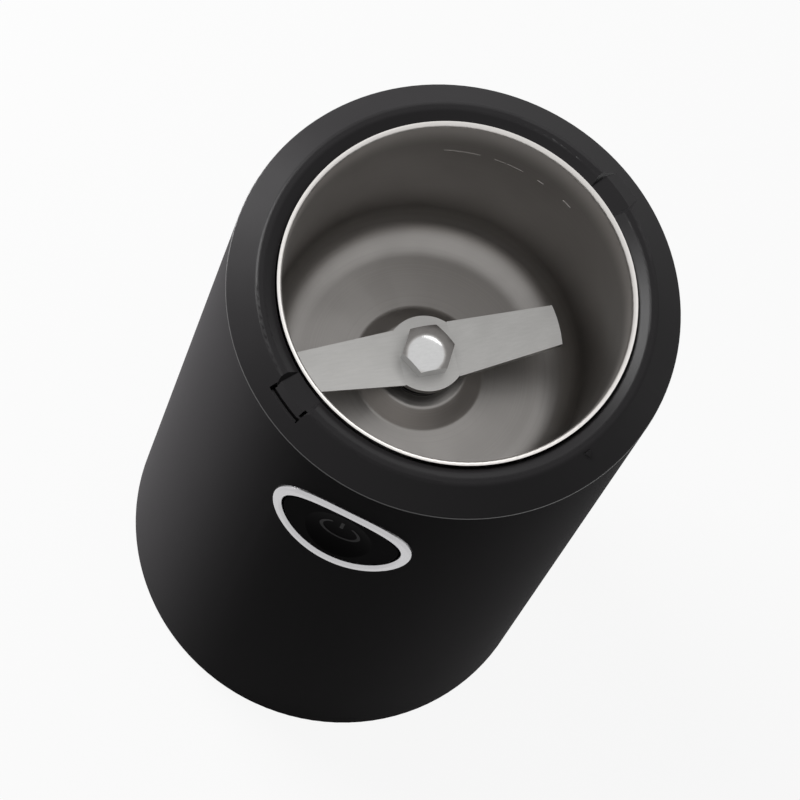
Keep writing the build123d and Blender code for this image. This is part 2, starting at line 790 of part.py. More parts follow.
bracket_length = 2 * (bolt_circle + leg_radius + bracket_rim)
with BuildPart() as motor_top_bracket:
    with BuildSketch(Plane.XY.offset(top_plate_bottom)):
        RectangleRounded(bracket_length, bracket_width, bracket_round)
    extrude(amount=bracket_thickness)
    with BuildSketch(Plane.XY.offset(top_plate_bottom)):
        Circle(upper_boss_radius)
    extrude(amount=upper_boss_top - top_plate_bottom)
    with BuildSketch(Plane.XY.offset(stator_top)):
        with Locations((-bolt_circle, 0), (bolt_circle, 0)):
            Circle(leg_radius)
    extrude(amount=top_plate_bottom - stator_top)
    with BuildSketch(Plane.XY.offset(stator_top)):
        with Locations((-bolt_circle, 0), (bolt_circle, 0)):
            Circle(bolt_radius + bolt_gap)
    extrude(amount=top_plate_top - stator_top, mode=Mode.SUBTRACT)
    with BuildSketch(Plane.XY.offset(top_plate_bottom)):
        with GridLocations(2 * mount_spread_x, 2 * mount_spread_y, 2, 2):
            Circle(mount_screw_radius + slip_gap)
    extrude(amount=bracket_thickness, mode=Mode.SUBTRACT)
    with BuildSketch(Plane.XY.offset(top_plate_bottom)):
        Circle(upper_bearing_radius + press_gap)
    extrude(amount=upper_boss_top - bearing_lip - top_plate_bottom, mode=Mode.SUBTRACT)
    with BuildSketch(Plane.XY.offset(top_plate_bottom)):
        Circle(shaft_radius + lip_hole_gap)
    extrude(amount=upper_boss_top - top_plate_bottom, mode=Mode.SUBTRACT)

with BuildPart() as upper_bearing:
    with BuildSketch(Plane.XY.offset(top_plate_bottom)):
        Circle(upper_bearing_radius)
        Circle(shaft_radius + running_gap, mode=Mode.SUBTRACT)
    extrude(amount=upper_boss_top - bearing_lip - top_plate_bottom)
    chamfer(upper_bearing.edges().filter_by(GeomType.CIRCLE).group_by(SortBy.RADIUS)[-1], bearing_chamfer)

brush_arm_length = 2 * (commutator_radius + holder_start_gap + brush_length + brush_arm_rim)
brush_post_place = commutator_radius + running_gap + brush_length
with BuildPart() as motor_bottom_bracket:
    with BuildSketch(Plane.XY.offset(bottom_plate_bottom)):
        RectangleRounded(bracket_length, bracket_width, bracket_round)
        RectangleRounded(brush_arm_width, brush_arm_length, brush_arm_rim)
    extrude(amount=bracket_thickness)
    with BuildSketch(Plane.XY.offset(lower_boss_bottom)):
        Circle(lower_boss_radius)
    extrude(amount=lower_bearing_height)
    with BuildSketch(Plane.XY.offset(bottom_plate_top)):
        with Locations((-bolt_circle, 0), (bolt_circle, 0)):
            Circle(leg_radius)
    extrude(amount=stator_bottom - bottom_plate_top)
    with BuildSketch(Plane.XY.offset(bottom_plate_bottom)):
        with Locations((-bolt_circle, 0), (bolt_circle, 0)):
            Circle(bolt_radius + bolt_gap)
    extrude(amount=stator_bottom - bottom_plate_bottom, mode=Mode.SUBTRACT)
    with BuildSketch(Plane.XY.offset(bottom_plate_top)):
        with Locations((0, -brush_post_place), (0, brush_post_place)):
            Rectangle(brush_post_width, brush_post_length)
    extrude(amount=holder_bottom - bottom_plate_top)
    with BuildSketch(Plane.XY.offset(lower_boss_bottom + bearing_lip)):
        Circle(lower_bearing_radius + press_gap)
    extrude(amount=lower_bearing_height - bearing_lip, mode=Mode.SUBTRACT)
    with BuildSketch(Plane.XY.offset(lower_boss_bottom)):
        Circle(shaft_radius + lip_hole_gap)
    extrude(amount=bearing_lip, mode=Mode.SUBTRACT)

with BuildPart() as lower_bearing:
    with BuildSketch(Plane.XY.offset(lower_boss_bottom + bearing_lip)):
        Circle(lower_bearing_radius)
        Circle(shaft_radius + running_gap, mode=Mode.SUBTRACT)
    extrude(amount=lower_bearing_height - bearing_lip)
    chamfer(lower_bearing.edges().filter_by(GeomType.CIRCLE).group_by(SortBy.RADIUS)[-1], bearing_chamfer)

with BuildPart() as motor_bolts:
    with BuildSketch(Plane.XY.offset(bottom_plate_bottom)):
        with Locations((-bolt_circle, 0), (bolt_circle, 0)):
            Circle(bolt_radius)
    extrude(amount=top_plate_top - bottom_plate_bottom)
    for end in (bottom_plate_bottom - bolt_head_height, top_plate_top):
        with BuildSketch(Plane.XY.offset(end)):
            with Locations((-bolt_circle, 0), (bolt_circle, 0)):
                RegularPolygon(bolt_head_radius, 6)
        extrude(amount=bolt_head_height)

# Fixed half of the motor: round yoke with two poles, and a coil round each pole
with BuildPart() as stator_core:
    with BuildSketch(Plane.XY.offset(stator_bottom)):
        Circle(stator_radius)
        Circle(yoke_bore, mode=Mode.SUBTRACT)
        for pole in (90, 270):
            add(sector(pole_bore, shoe_radius, pole - shoe_sweep / 2, shoe_sweep))
        with Locations((0, (shoe_radius + yoke_bore) / 2), (0, -(shoe_radius + yoke_bore) / 2)):
            Rectangle(neck_width, yoke_bore - shoe_radius + yoke_width)
        Circle(pole_bore, mode=Mode.SUBTRACT)
        with Locations((-bolt_circle, 0), (bolt_circle, 0)):
            Circle(bolt_radius + bolt_gap, mode=Mode.SUBTRACT)
    extrude(amount=stator_top - stator_bottom)

with BuildPart() as field_coils:
    with BuildSketch(Plane.XY.offset(stator_bottom - coil_overhang)):
        for pole in (90, 270):
            add(sector(shoe_radius + coil_gap, yoke_bore - coil_gap, pole - coil_sweep / 2, coil_sweep))
    extrude(amount=stator_top - stator_bottom + 2 * coil_overhang)
    with BuildSketch(Plane.XY.offset(stator_bottom - coil_gap)):
        Rectangle(neck_width + 2 * coil_gap, 2 * stator_radius)
    extrude(amount=stator_top - stator_bottom + 2 * coil_gap, mode=Mode.SUBTRACT)

# Turning half of the motor
with BuildPart() as motor_shaft:
    with BuildSketch(Plane.XY.offset(shaft_bottom)):
        Circle(shaft_radius)
    extrude(amount=shaft_top - shaft_bottom)
    chamfer(motor_shaft.edges().filter_by(GeomType.CIRCLE), shaft_chamfer)

with BuildPart() as armature_core:
    with BuildSketch(Plane.XY.offset(core_bottom)):
        Circle(armature_radius)
        Circle(shaft_radius + press_gap, mode=Mode.SUBTRACT)
        with PolarLocations(slot_circle, slot_count):
            Circle(slot_radius, mode=Mode.SUBTRACT)
        with PolarLocations((slot_circle + armature_radius + overrun) / 2, slot_count):
            Rectangle(armature_radius + overrun - slot_circle, slot_mouth, mode=Mode.SUBTRACT)
    extrude(amount=core_top - core_bottom)

with BuildPart() as armature_winding:
    for end in (winding_bottom, core_top + winding_clear):
        with BuildSketch(Plane.XY.offset(end)):
            Circle(winding_outer_radius)
            Circle(winding_inner_radius, mode=Mode.SUBTRACT)
        extrude(amount=winding_overhang - winding_clear)
    outer_rims = armature_winding.edges().filter_by(GeomType.CIRCLE).group_by(SortBy.RADIUS)[-1]
    fillet([outer_rims.sort_by(Axis.Z)[0], outer_rims.sort_by(Axis.Z)[-1]], winding_round)
    with BuildSketch(Plane.XY.offset(core_bottom - winding_clear)):
        with PolarLocations(slot_circle, slot_count):
            Circle(slot_radius - winding_clear)
    extrude(amount=core_top - core_bottom + 2 * winding_clear)

with BuildPart() as commutator:
    with BuildSketch(Plane.XY.offset(commutator_bottom)):
        Circle(commutator_radius)
    extrude(amount=commutator_length)
    with BuildSketch(Plane.XY.offset(commutator_top - riser_height)):
        Circle(riser_radius)
    extrude(amount=riser_height)
    with BuildSketch(Plane.XY.offset(commutator_bottom)):
        with PolarLocations(riser_radius, slot_count):
            Rectangle(2 * (riser_radius - commutator_radius + bar_slot_depth), bar_slot_width)
    extrude(amount=commutator_length, mode=Mode.SUBTRACT)
    with BuildSketch(Plane.XY.offset(commutator_bottom)):
        Circle(shaft_radius + press_gap)
    extrude(amount=commutator_length, mode=Mode.SUBTRACT)

with BuildPart() as fan:
    with BuildSketch(Plane.XY.offset(fan_bottom)):
        Circle(fan_radius)
    extrude(amount=fan_disc)
    with BuildSketch(Plane.XY.offset(fan_bottom)):
        blade_reach = (fan_radius - fan_hub_radius) / math.cos(math.radians(fan_blade_lean))
        with PolarLocations((fan_radius + fan_hub_radius) / 2, fan_blade_count):
            Rectangle(blade_reach, fan_blade_thickness, rotation=fan_blade_lean)
        Circle(fan_hub_radius)
    extrude(amount=fan_height)
    with BuildSketch(Plane.XY.offset(fan_bottom)):
        Circle(fan_radius)
        Circle(shaft_radius + press_gap, mode=Mode.SUBTRACT)
    extrude(amount=fan_height, mode=Mode.INTERSECT)

# Brushes, holders, springs and caps, one of each on either side of the commutator
brush_back = commutator_radius + running_gap + brush_length
holder_start = commutator_radius + holder_start_gap
holder_end = brush_back + brush_spring_length + cap_plug
holder_width = brush_width + 2 * brush_gap + 2 * holder_wall
holder_height = brush_depth + 2 * brush_gap + 2 * holder_wall
with BuildPart() as brush_holders:
    for side in (-1, 1):
        with BuildSketch(Plane.XZ.offset(side * holder_start)):
            with Locations((0, brush_height)):
                Rectangle(holder_width, holder_height)
                Rectangle(brush_width + 2 * brush_gap, brush_depth + 2 * brush_gap, mode=Mode.SUBTRACT)
        extrude(amount=side * (holder_end - holder_start))

with BuildPart() as brush_caps:
    for side in (-1, 1):
        with BuildSketch(Plane.XZ.offset(side * holder_end)):
            with Locations((0, brush_height)):
                Rectangle(holder_width, holder_height)
        extrude(amount=side * cap_flange)
        with BuildSketch(Plane.XZ.offset(side * holder_end)):
            with Locations((0, brush_height)):
                Rectangle(brush_width, brush_depth)
        extrude(amount=-side * cap_plug)

brushes = {}
brush_springs = {}
for name, side in (("front", 1), ("rear", -1)):
    with BuildPart() as brush:
        with BuildSketch(Plane.XZ):
            with Locations((0, brush_height)):
                Rectangle(brush_width, brush_depth)
        extrude(amount=side * brush_back)
        with BuildSketch(Plane.XY.offset(brush_height - brush_depth)):
            Circle(commutator_radius + running_gap)
        extrude(amount=2 * brush_depth, mode=Mode.SUBTRACT)
    brushes[name] = brush
    seat = Plane(origin=(0, -side * brush_back, brush_height), x_dir=(1, 0, 0), z_dir=(0, -side, 0))
    brush_springs[name] = coil_spring(
        seat, brush_spring_radius, brush_spring_wire, brush_spring_length, brush_spring_turns
    )

# Start button: chrome bezel wrapped on the tube, dished cap, spring, switch and bracket
with BuildPart() as button_bezel:
    with BuildSketch(Plane.XZ):
        with Locations((0, button_height)):
            Circle(bezel_flange_radius)
    extrude(amount=body_radius + 2 * bezel_proud)
    with BuildSketch(Plane.XY):
        Circle(body_radius + bezel_proud)
        Circle(body_radius, mode=Mode.SUBTRACT)
    extrude(amount=rim_height, mode=Mode.INTERSECT)
    with BuildSketch(Plane.XZ.offset(body_radius - bezel_sleeve_depth)):
        with Locations((0, button_height)):
            Circle(bezel_sleeve_radius)
    extrude(until=Until.NEXT)
    with BuildSketch(Plane.XZ):
        with Locations((0, button_height)):
            Circle(bezel_bore)
    extrude(amount=body_radius + 2 * bezel_proud, mode=Mode.SUBTRACT)
    front_face = button_bezel.faces().sort_by(Axis.Y)[0]
    fillet(front_face.edges(), bezel_round)

dish_ball = (button_dish_radius**2 + button_dish**2) / (2 * button_dish)
with BuildPart() as button:
    with BuildSketch(Plane.XZ.offset(body_radius - button_skirt_depth)):
        with Locations((0, button_height)):
            Circle(button_radius)
    extrude(amount=button_skirt_depth + 2 * button_proud)
    with BuildSketch(Plane.XY):
        Circle(body_radius + button_proud)
    extrude(amount=rim_height, mode=Mode.INTERSECT)
    front_face = button.faces().sort_by(Axis.Y)[0]
    fillet(front_face.edges(), button_edge_round)
    with Locations((0, -dish_front - dish_ball, button_height)):
        Sphere(dish_ball, mode=Mode.SUBTRACT)
    with BuildSketch(Plane.XZ.offset(web_back)):
        with Locations((0, button_height)):
            Circle(button_radius - button_skirt_wall)
    extrude(amount=-button_skirt_depth, mode=Mode.SUBTRACT)
    with BuildSketch(Plane.XZ.offset(contact_front)):
        with Locations((0, button_height)):
            Circle(button_post_radius)
    extrude(amount=web_back - contact_front)

seat = Plane(origin=(0, -bracket_front, button_height), x_dir=(1, 0, 0), z_dir=(0, -1, 0))
button_spring = coil_spring(
    seat, button_spring_radius, button_spring_wire, web_back - bracket_front, button_spring_turns
)

with BuildPart() as start_switch:
    with BuildSketch(Plane.XZ.offset(switch_front)):
        with Locations((0, button_height)):
            RectangleRounded(switch_length, switch_width, switch_round)
    extrude(amount=-switch_depth)
    with BuildSketch(Plane.XZ.offset(switch_front)):
        with Locations((0, button_height)):
            Circle(contact_radius + slide_gap)
    extrude(amount=-contact_depth - button_stroke, mode=Mode.SUBTRACT)

with BuildPart() as switch_plunger:
    with BuildSketch(Plane.XZ.offset(switch_front - contact_depth + slide_gap)):
        with Locations((0, button_height)):
            Circle(contact_radius)
    extrude(amount=contact_front - switch_front + contact_depth - slide_gap)

with BuildPart() as switch_bracket:
    with BuildSketch(Plane.XZ.offset(bracket_front)):
        with Locations((0, button_height)):
            RectangleRounded(
                2 * (switch_boss_place + switch_boss_radius), bracket_height, switch_boss_radius
            )
            Rectangle(switch_length + 2 * press_gap, switch_width + 2 * press_gap, mode=Mode.SUBTRACT)
        with Locations((-switch_boss_place, button_height), (switch_boss_place, button_height)):
            Circle(switch_screw_radius + slip_gap, mode=Mode.SUBTRACT)
    extrude(amount=-bracket_plate)

with BuildPart() as switch_screws:
    with BuildSketch(Plane.XZ.offset(bracket_front - bracket_plate)):
        with Locations((-switch_boss_place, button_height), (switch_boss_place, button_height)):
            Circle(switch_screw_head_radius)
    extrude(amount=-switch_screw_head_height)
    with BuildSketch(Plane.XZ.offset(bracket_front - bracket_plate)):
        with Locations((-switch_boss_place, button_height), (switch_boss_place, button_height)):
            Circle(switch_screw_radius)
    extrude(amount=bracket_plate + switch_screw_grip)

# Lid interlock: a tongue in the slit that a tab of the lid pushes down onto a switch
with BuildPart() as interlock_plunger:
    with BuildSketch(turned(lock_angle, plunger_top)):
        add(sector(tongue_inner, tongue_outer, -tongue_sweep / 2, tongue_sweep))
    extrude(amount=tongue_top - plunger_top)
    with BuildSketch(turned(lock_angle, plunger_bottom)):
        with Locations((plunger_outer - plunger_depth / 2, 0)):
            Rectangle(plunger_depth, plunger_width)
    extrude(amount=plunger_height)
    with BuildSketch(turned(lock_angle, interlock_contact_top)):
        with Locations((stem_circle, 0)):
            Circle(stem_radius)
    extrude(amount=plunger_bottom - interlock_contact_top)

seat = Plane(turned(lock_angle, flange_top).location * Pos(stem_circle, 0, 0))
interlock_spring = coil_spring(
    seat, interlock_spring_radius, interlock_spring_wire, plunger_bottom - flange_top, interlock_spring_turns
)

with BuildPart() as interlock_switch:
    with BuildSketch(turned(lock_angle, interlock_switch_top)):
        with Locations((cheek_middle, 0)):
            RectangleRounded(switch_width, switch_length, switch_round)
    extrude(amount=-switch_depth)
    with BuildSketch(turned(lock_angle, interlock_switch_top)):
        with Locations((stem_circle, 0)):
            Circle(contact_radius + slide_gap)
    extrude(amount=-contact_depth - plunger_stroke, mode=Mode.SUBTRACT)

with BuildPart() as interlock_contact:
    with BuildSketch(turned(lock_angle, interlock_switch_top - contact_depth + slide_gap)):
        with Locations((stem_circle, 0)):
            Circle(contact_radius)
    extrude(amount=interlock_contact_top - interlock_switch_top + contact_depth - slide_gap)

# Supply inlet: grommet in the shell, clamp, terminal block and suppressor on the base cover
grommet_radius = grommet_bore + grommet_wall
with BuildPart() as cord_grommet:
    with BuildSketch(Plane.XZ):
        with Locations((0, inlet_height)):
            Circle(grommet_radius + grommet_lip)
    extrude(amount=-body_radius - 2 * grommet_proud)
    with BuildSketch(Plane.XY):
        Circle(body_radius + grommet_proud)
        Circle(body_radius, mode=Mode.SUBTRACT)
    extrude(amount=rim_height, mode=Mode.INTERSECT)
    with BuildSketch(Plane.XZ.offset(-body_bore + grommet_inside)):
        with Locations((0, inlet_height)):
            Circle(grommet_radius)
    extrude(until=Until.NEXT, dir=(0, 1, 0))
    with BuildSketch(Plane.XZ):
        with Locations((0, inlet_height)):
            Circle(grommet_bore)
    extrude(amount=-body_radius - 2 * grommet_proud, mode=Mode.SUBTRACT)

with BuildPart() as cord_clamp:
    with BuildSketch(Plane.XY.offset(inlet_height)):
        with Locations((0, clamp_place)):
            RectangleRounded(clamp_width, clamp_depth, clamp_post_radius - slip_gap)
        with Locations((-clamp_post_place, clamp_place), (clamp_post_place, clamp_place)):
            Circle(clamp_screw_radius + slip_gap, mode=Mode.SUBTRACT)
    extrude(amount=clamp_height)
    with BuildSketch(Plane.XZ):
        with Locations((0, inlet_height)):
            Circle(grommet_bore)
    extrude(amount=-body_radius, mode=Mode.SUBTRACT)

with BuildPart() as clamp_screws:
    with BuildSketch(Plane.XY.offset(inlet_height + clamp_height)):
        with Locations((-clamp_post_place, clamp_place), (clamp_post_place, clamp_place)):
            Circle(clamp_screw_head_radius)
    extrude(amount=clamp_screw_head_height)
    with BuildSketch(Plane.XY.offset(inlet_height + clamp_height)):
        with Locations((-clamp_post_place, clamp_place), (clamp_post_place, clamp_place)):
            Circle(clamp_screw_radius)
    extrude(amount=-clamp_height - clamp_screw_grip)

with BuildPart() as terminal_block:
    with BuildSketch(Plane.XY.offset(base_top)):
        with Locations((block_place_x, block_place_y)):
            Rectangle(block_length, block_width)
    extrude(amount=block_height)
    with BuildSketch(Plane.XY.offset(base_top + block_height)):
        with Locations((block_place_x, block_place_y)):
            with GridLocations(block_length / block_ways, block_width, block_ways, 1):
                Circle(block_hole_radius)
    extrude(amount=-block_hole_depth, mode=Mode.SUBTRACT)

with BuildPart() as suppressor:
    with BuildSketch(Plane.XY.offset(base_top)):
        with Locations((suppressor_place_x, suppressor_place_y)):
            Rectangle(suppressor_length, suppressor_width)
    extrude(amount=suppressor_height)
    fillet(suppressor.edges().group_by(Axis.Z)[-1], suppressor_round)

pieces = {
    "body_shell": body_shell,
    "base_cover": base_cover,
    "rubber_feet": rubber_feet,
    "base_screws": base_screws,
    "top_collar": top_collar,
    "collar_screws": collar_screws,
    "grinding_bowl": grinding_bowl,
    "shaft_seal": shaft_seal,
    "blade": blade,
    "blade_hub": blade_hub,
    "blade_nut": blade_nut,
    "inner_frame": inner_frame,
    "motor_mounts": motor_mounts,
    "mount_screws": mount_screws,
    "motor_top_bracket": motor_top_bracket,
    "upper_bearing": upper_bearing,
    "motor_bottom_bracket": motor_bottom_bracket,
    "lower_bearing": lower_bearing,
    "motor_bolts": motor_bolts,
    "stator_core": stator_core,
    "field_coils": field_coils,
    "motor_shaft": motor_shaft,
    "armature_core": armature_core,
    "armature_winding": armature_winding,
    "commutator": commutator,
    "fan": fan,
    "brush_holders": brush_holders,
    "brush_caps": brush_caps,
    "brush_front": brushes["front"],
    "brush_rear": brushes["rear"],
    "brush_spring_front": brush_springs["front"],
    "brush_spring_rear": brush_springs["rear"],
    "button_bezel": button_bezel,
    "button": button,
    "button_spring": button_spring,
    "start_switch": start_switch,
    "switch_plunger": switch_plunger,
    "switch_bracket": switch_bracket,
    "switch_screws": switch_screws,
    "interlock_plunger": interlock_plunger,
    "interlock_spring": interlock_spring,
    "interlock_switch": interlock_switch,
    "interlock_contact": interlock_contact,
    "cord_grommet": cord_grommet,
    "cord_clamp": cord_clamp,
    "clamp_screws": clamp_screws,
    "terminal_block": terminal_block,
    "suppressor": suppressor,
}
for label, piece in pieces.items():
    piece.part.label = label
    export_step(piece.part, f"parts/{label}.step")
print(f"{len(pieces)} pieces written")
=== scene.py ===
# %% [markdown]
# An electric coffee grinder, seen from above with its lid off. The solids of every piece come from the CAD
# model, at real size, and this lesson dresses them: a camera, a floor and light, one finish for each real
# material, and the few pieces that are printed, stamped, rolled, cut or wound here. The frame is loaded first,
# because everything else is placed by what it says. Lengths are in metres, as Blender has them.

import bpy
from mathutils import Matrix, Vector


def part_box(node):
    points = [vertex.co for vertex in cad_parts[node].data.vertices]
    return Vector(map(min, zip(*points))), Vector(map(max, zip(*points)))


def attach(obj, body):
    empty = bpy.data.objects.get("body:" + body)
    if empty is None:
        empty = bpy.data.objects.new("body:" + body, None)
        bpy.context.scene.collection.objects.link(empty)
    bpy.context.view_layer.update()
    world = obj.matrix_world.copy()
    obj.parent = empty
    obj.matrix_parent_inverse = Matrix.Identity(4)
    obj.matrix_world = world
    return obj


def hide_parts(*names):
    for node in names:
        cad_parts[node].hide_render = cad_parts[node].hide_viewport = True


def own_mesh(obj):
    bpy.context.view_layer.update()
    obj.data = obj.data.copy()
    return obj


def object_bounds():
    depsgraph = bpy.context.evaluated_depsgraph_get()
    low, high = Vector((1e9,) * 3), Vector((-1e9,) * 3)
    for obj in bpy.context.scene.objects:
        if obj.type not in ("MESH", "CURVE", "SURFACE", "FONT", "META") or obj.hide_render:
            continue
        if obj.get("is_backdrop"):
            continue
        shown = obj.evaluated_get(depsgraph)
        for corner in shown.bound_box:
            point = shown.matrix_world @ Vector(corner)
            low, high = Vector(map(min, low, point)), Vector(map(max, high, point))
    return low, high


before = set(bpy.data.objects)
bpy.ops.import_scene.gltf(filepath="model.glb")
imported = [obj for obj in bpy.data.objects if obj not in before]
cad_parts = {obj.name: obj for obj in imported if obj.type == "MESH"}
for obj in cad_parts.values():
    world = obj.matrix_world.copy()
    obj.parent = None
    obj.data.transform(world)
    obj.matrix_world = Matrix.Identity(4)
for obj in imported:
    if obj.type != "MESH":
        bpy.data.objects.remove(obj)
cad_low, cad_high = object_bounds()
cad_size = [round((high - low) * 1000, 1) for low, high in zip(cad_low, cad_high)]
print("frame of", len(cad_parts), "nodes,", cad_size, "mm")

# %% [markdown]
# The camera stands in front of the start button and looks down into the bowl, rolled so that the body leans
# in the picture. A camera can be placed by eye, but here its angles were fitted to the bowl's lip and the
# body's edges, so the picture and the model share one perspective. The lens is long, as it is for a product
# picture, and the fit gives the pixel at which the middle of the lip has to land.

# %% Place the camera
import math

import bpy
from mathutils import Matrix, Vector

MM = 0.001
picture_side = 800
focal_length = 4641.0  # in pixels of the picture
lip_pixel = (458.699, 291.205)
lip_distance = 949.4 * MM
elevation = math.radians(67.035)
side_step = math.radians(1.3)  # how far round the camera stands to the button's left
roll = math.radians(27.518)

lip_middle = Vector((0, 0, cad_high.z))
level = Vector((math.cos(side_step), -math.sin(side_step), 0))
towards_camera = Vector((level.y, -level.x, 0)) * math.cos(elevation) + Vector((0, 0, math.sin(elevation)))
upright = towards_camera.cross(level)
rolled = Matrix((
    level * math.cos(roll) + upright * math.sin(roll),
    upright * math.cos(roll) - level * math.sin(roll),
    towards_camera,
))
ray = Vector((
    (lip_pixel[0] - picture_side / 2) / focal_length,
    (picture_side / 2 - lip_pixel[1]) / focal_length,
    -1,
))
aimed = Vector((0, 0, -1)).rotation_difference(ray).to_matrix() @ rolled

bpy.ops.object.select_all(action="DESELECT")
bpy.ops.object.camera_add()
camera = bpy.context.object
camera.name = "picture_camera"
camera.data.sensor_width = 36
camera.data.lens = focal_length * camera.data.sensor_width / picture_side
camera.data.clip_end = 20
camera_place = lip_middle + towards_camera * lip_distance
camera.matrix_world = Matrix.Translation(camera_place) @ aimed.transposed().to_4x4()
bpy.context.scene.camera = camera
print("camera", [round(c, 3) for c in camera.location], "lens", round(camera.data.lens, 1), "mm")

# %% [markdown]
# A finish is a small tree of nodes. Four helpers keep every tree short: one turns the hex colours that a
# designer writes into Blender's linear values, one adds a node with its settings and links, one starts an
# empty material with the node for places on it, and one adds its surface output.

# %% Helpers for finishes
def linear(code):
    parts = [int(code[place:place + 2], 16) / 255 for place in (1, 3, 5)]
    return [c / 12.92 if c <= 0.04045 else ((c + 0.055) / 1.055) ** 2.4 for c in parts] + [1.0]


def add_node(tree, kind, inputs=None, **settings):
    """Adds a node, makes its settings, and sets each input to a value or links it to a node's output."""
    made = tree.nodes.new("ShaderNode" + kind)
    for name, value in settings.items():
        setattr(made, name, value)
    for socket, source in (inputs or {}).items():
        if isinstance(source, bpy.types.NodeSocket):
            tree.links.new(source, made.inputs[socket])
        else:
            made.inputs[socket].default_value = source
    return made


def start_finish(name):
    """A new material with no nodes but the one that gives places on the piece in metres; show adds its output."""
    material = bpy.data.materials.new(name)
    material.use_nodes = True
    tree = material.node_tree
    tree.nodes.clear()
    place = add_node(tree, "TexCoord").outputs["Object"]
    return material, tree, place


def show(tree, shader):
    add_node(tree, "OutputMaterial", {"Surface": shader.outputs["BSDF"]})


print("white as linear", [round(c, 3) for c in linear("#ffffff")])

# %% [markdown]
# The floor is a plain sheet, and the light is a studio's: a soft lamp high at the left that shapes the collar,
# one low at each side that draws the edge of the body, a weak one behind, and a very dim even world. A black
# body shows where light comes from more than its own colour, so the lamps are few and each has its job. Floor
# and world are white where they are seen, straight on or in a mirror, and give less light than that. The
# floor mixes that white with the paper as it is lit, so it still shows a shadow. In a studio a black flag
# keeps a lamp off a shiny piece, so that it shows no glare, and light linking is Blender's flag.

# %% Floor
def seen_rays(tree):
    """One for a ray that an eye follows, straight on or by a mirror or a glass, and nought for lamp light."""
    path = add_node(tree, "LightPath")
    bounced = add_node(tree, "Math", {0: path.outputs["Is Glossy Ray"], 1: path.outputs["Is Transmission Ray"]},
                       operation="MAXIMUM")
    return add_node(tree, "Math", {0: path.outputs["Is Camera Ray"], 1: bounced.outputs[0]},
                    operation="MAXIMUM")


floor_white = 0.92  # the share of plain white in what is seen; the rest is the paper as it is lit
bpy.ops.object.select_all(action="DESELECT")
bpy.ops.mesh.primitive_plane_add(size=6)
floor = bpy.context.object
floor.name = "floor"
floor_paper, tree, place = start_finish("white_paper")
fibre = add_node(tree, "TexNoise", {"Vector": place, "Scale": 1 / (40 * MM), "Detail": 2.0})
tone = add_node(tree, "Mix", {0: fibre.outputs["Fac"], 6: linear("#9a9a9a"), 7: linear("#9e9e9e")},
                data_type="RGBA")
paper = add_node(tree, "BsdfPrincipled", {
    "Base Color": tone.outputs[2], "Roughness": 0.9, "Specular IOR Level": 0.0})
white = add_node(tree, "Emission", {"Color": linear("#ffffff"), "Strength": 1.0})
white_share = add_node(tree, "Math", {0: seen_rays(tree).outputs[0], 1: floor_white}, operation="MULTIPLY")
mixed = add_node(tree, "MixShader", {
    0: white_share.outputs[0], 1: paper.outputs["BSDF"], 2: white.outputs["Emission"]})
add_node(tree, "OutputMaterial", {"Surface": mixed.outputs["Shader"]})
floor.data.materials.append(floor_paper)
floor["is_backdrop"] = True
print("floor", [round(c, 2) for c in floor.dimensions], "m")

# %% World and lamps
world_light = 0.03  # what it gives as light
world_seen = 0.95  # how white it looks
world = bpy.data.worlds.new("studio")
bpy.context.scene.world = world
world.use_nodes = True
world.node_tree.nodes.clear()
strength = add_node(world.node_tree, "MapRange", {
    "Value": seen_rays(world.node_tree).outputs[0], "To Min": world_light, "To Max": world_seen})
sky = add_node(world.node_tree, "Background", {"Color": linear("#ffffff"), "Strength": strength.outputs[0]})
add_node(world.node_tree, "OutputWorld", {"Surface": sky.outputs[0]})

aim = Vector((0, 0, cad_high.z * 0.6))  # a little above the middle of the body


def softbox(name, place, size, power):
    bpy.ops.object.select_all(action="DESELECT")
    bpy.ops.object.light_add(type="AREA", location=place)
    lamp = bpy.context.object
    lamp.name = name
    lamp.data.shape = "RECTANGLE"
    lamp.data.size, lamp.data.size_y = size
    lamp.data.energy = power
    lamp.rotation_euler = (aim - Vector(place)).to_track_quat("-Z", "Y").to_euler()
    print(name, power, "W at", place)


softbox("left_softbox", (-0.58, 0.19, 0.89), (0.4, 0.4), 13.0)
softbox("low_left_softbox", (-0.5, 0.15, 0.08), (0.25, 0.12), 7.0)
softbox("low_right_softbox", (0.5, 0.1, 0.08), (0.25, 0.12), 0.8)
softbox("rear_softbox", (0.0, 0.95, 0.75), (1.0, 0.7), 4.0)
bpy.context.scene.view_settings.view_transform = "Standard"

# %% Keep the side lamps off the bright metal
flagged = bpy.data.collections.new("shaded_by_flags")
for name in ("left_softbox", "low_left_softbox", "low_right_softbox"):
    bpy.data.objects[name].light_linking.receiver_collection = flagged


def shade_from_lamps(piece):
    flagged.objects.link(piece)
    flagged.collection_objects[-1].light_linking.link_state = "EXCLUDE"


for name in ("blade", "blade_nut", "button_bezel"):
    shade_from_lamps(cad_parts[name])

# %% [markdown]
# Moulded plastic is cut from one idea: a dark colour that varies a little in clouds, and a fine grain that
# the tool left on it. The grain of a real moulding is about a tenth of a millimetre, which is finer than a
# pixel here, so it is drawn coarser where a comment says so. Roughness follows the clouds, because handled
# plastic is never evenly dull.

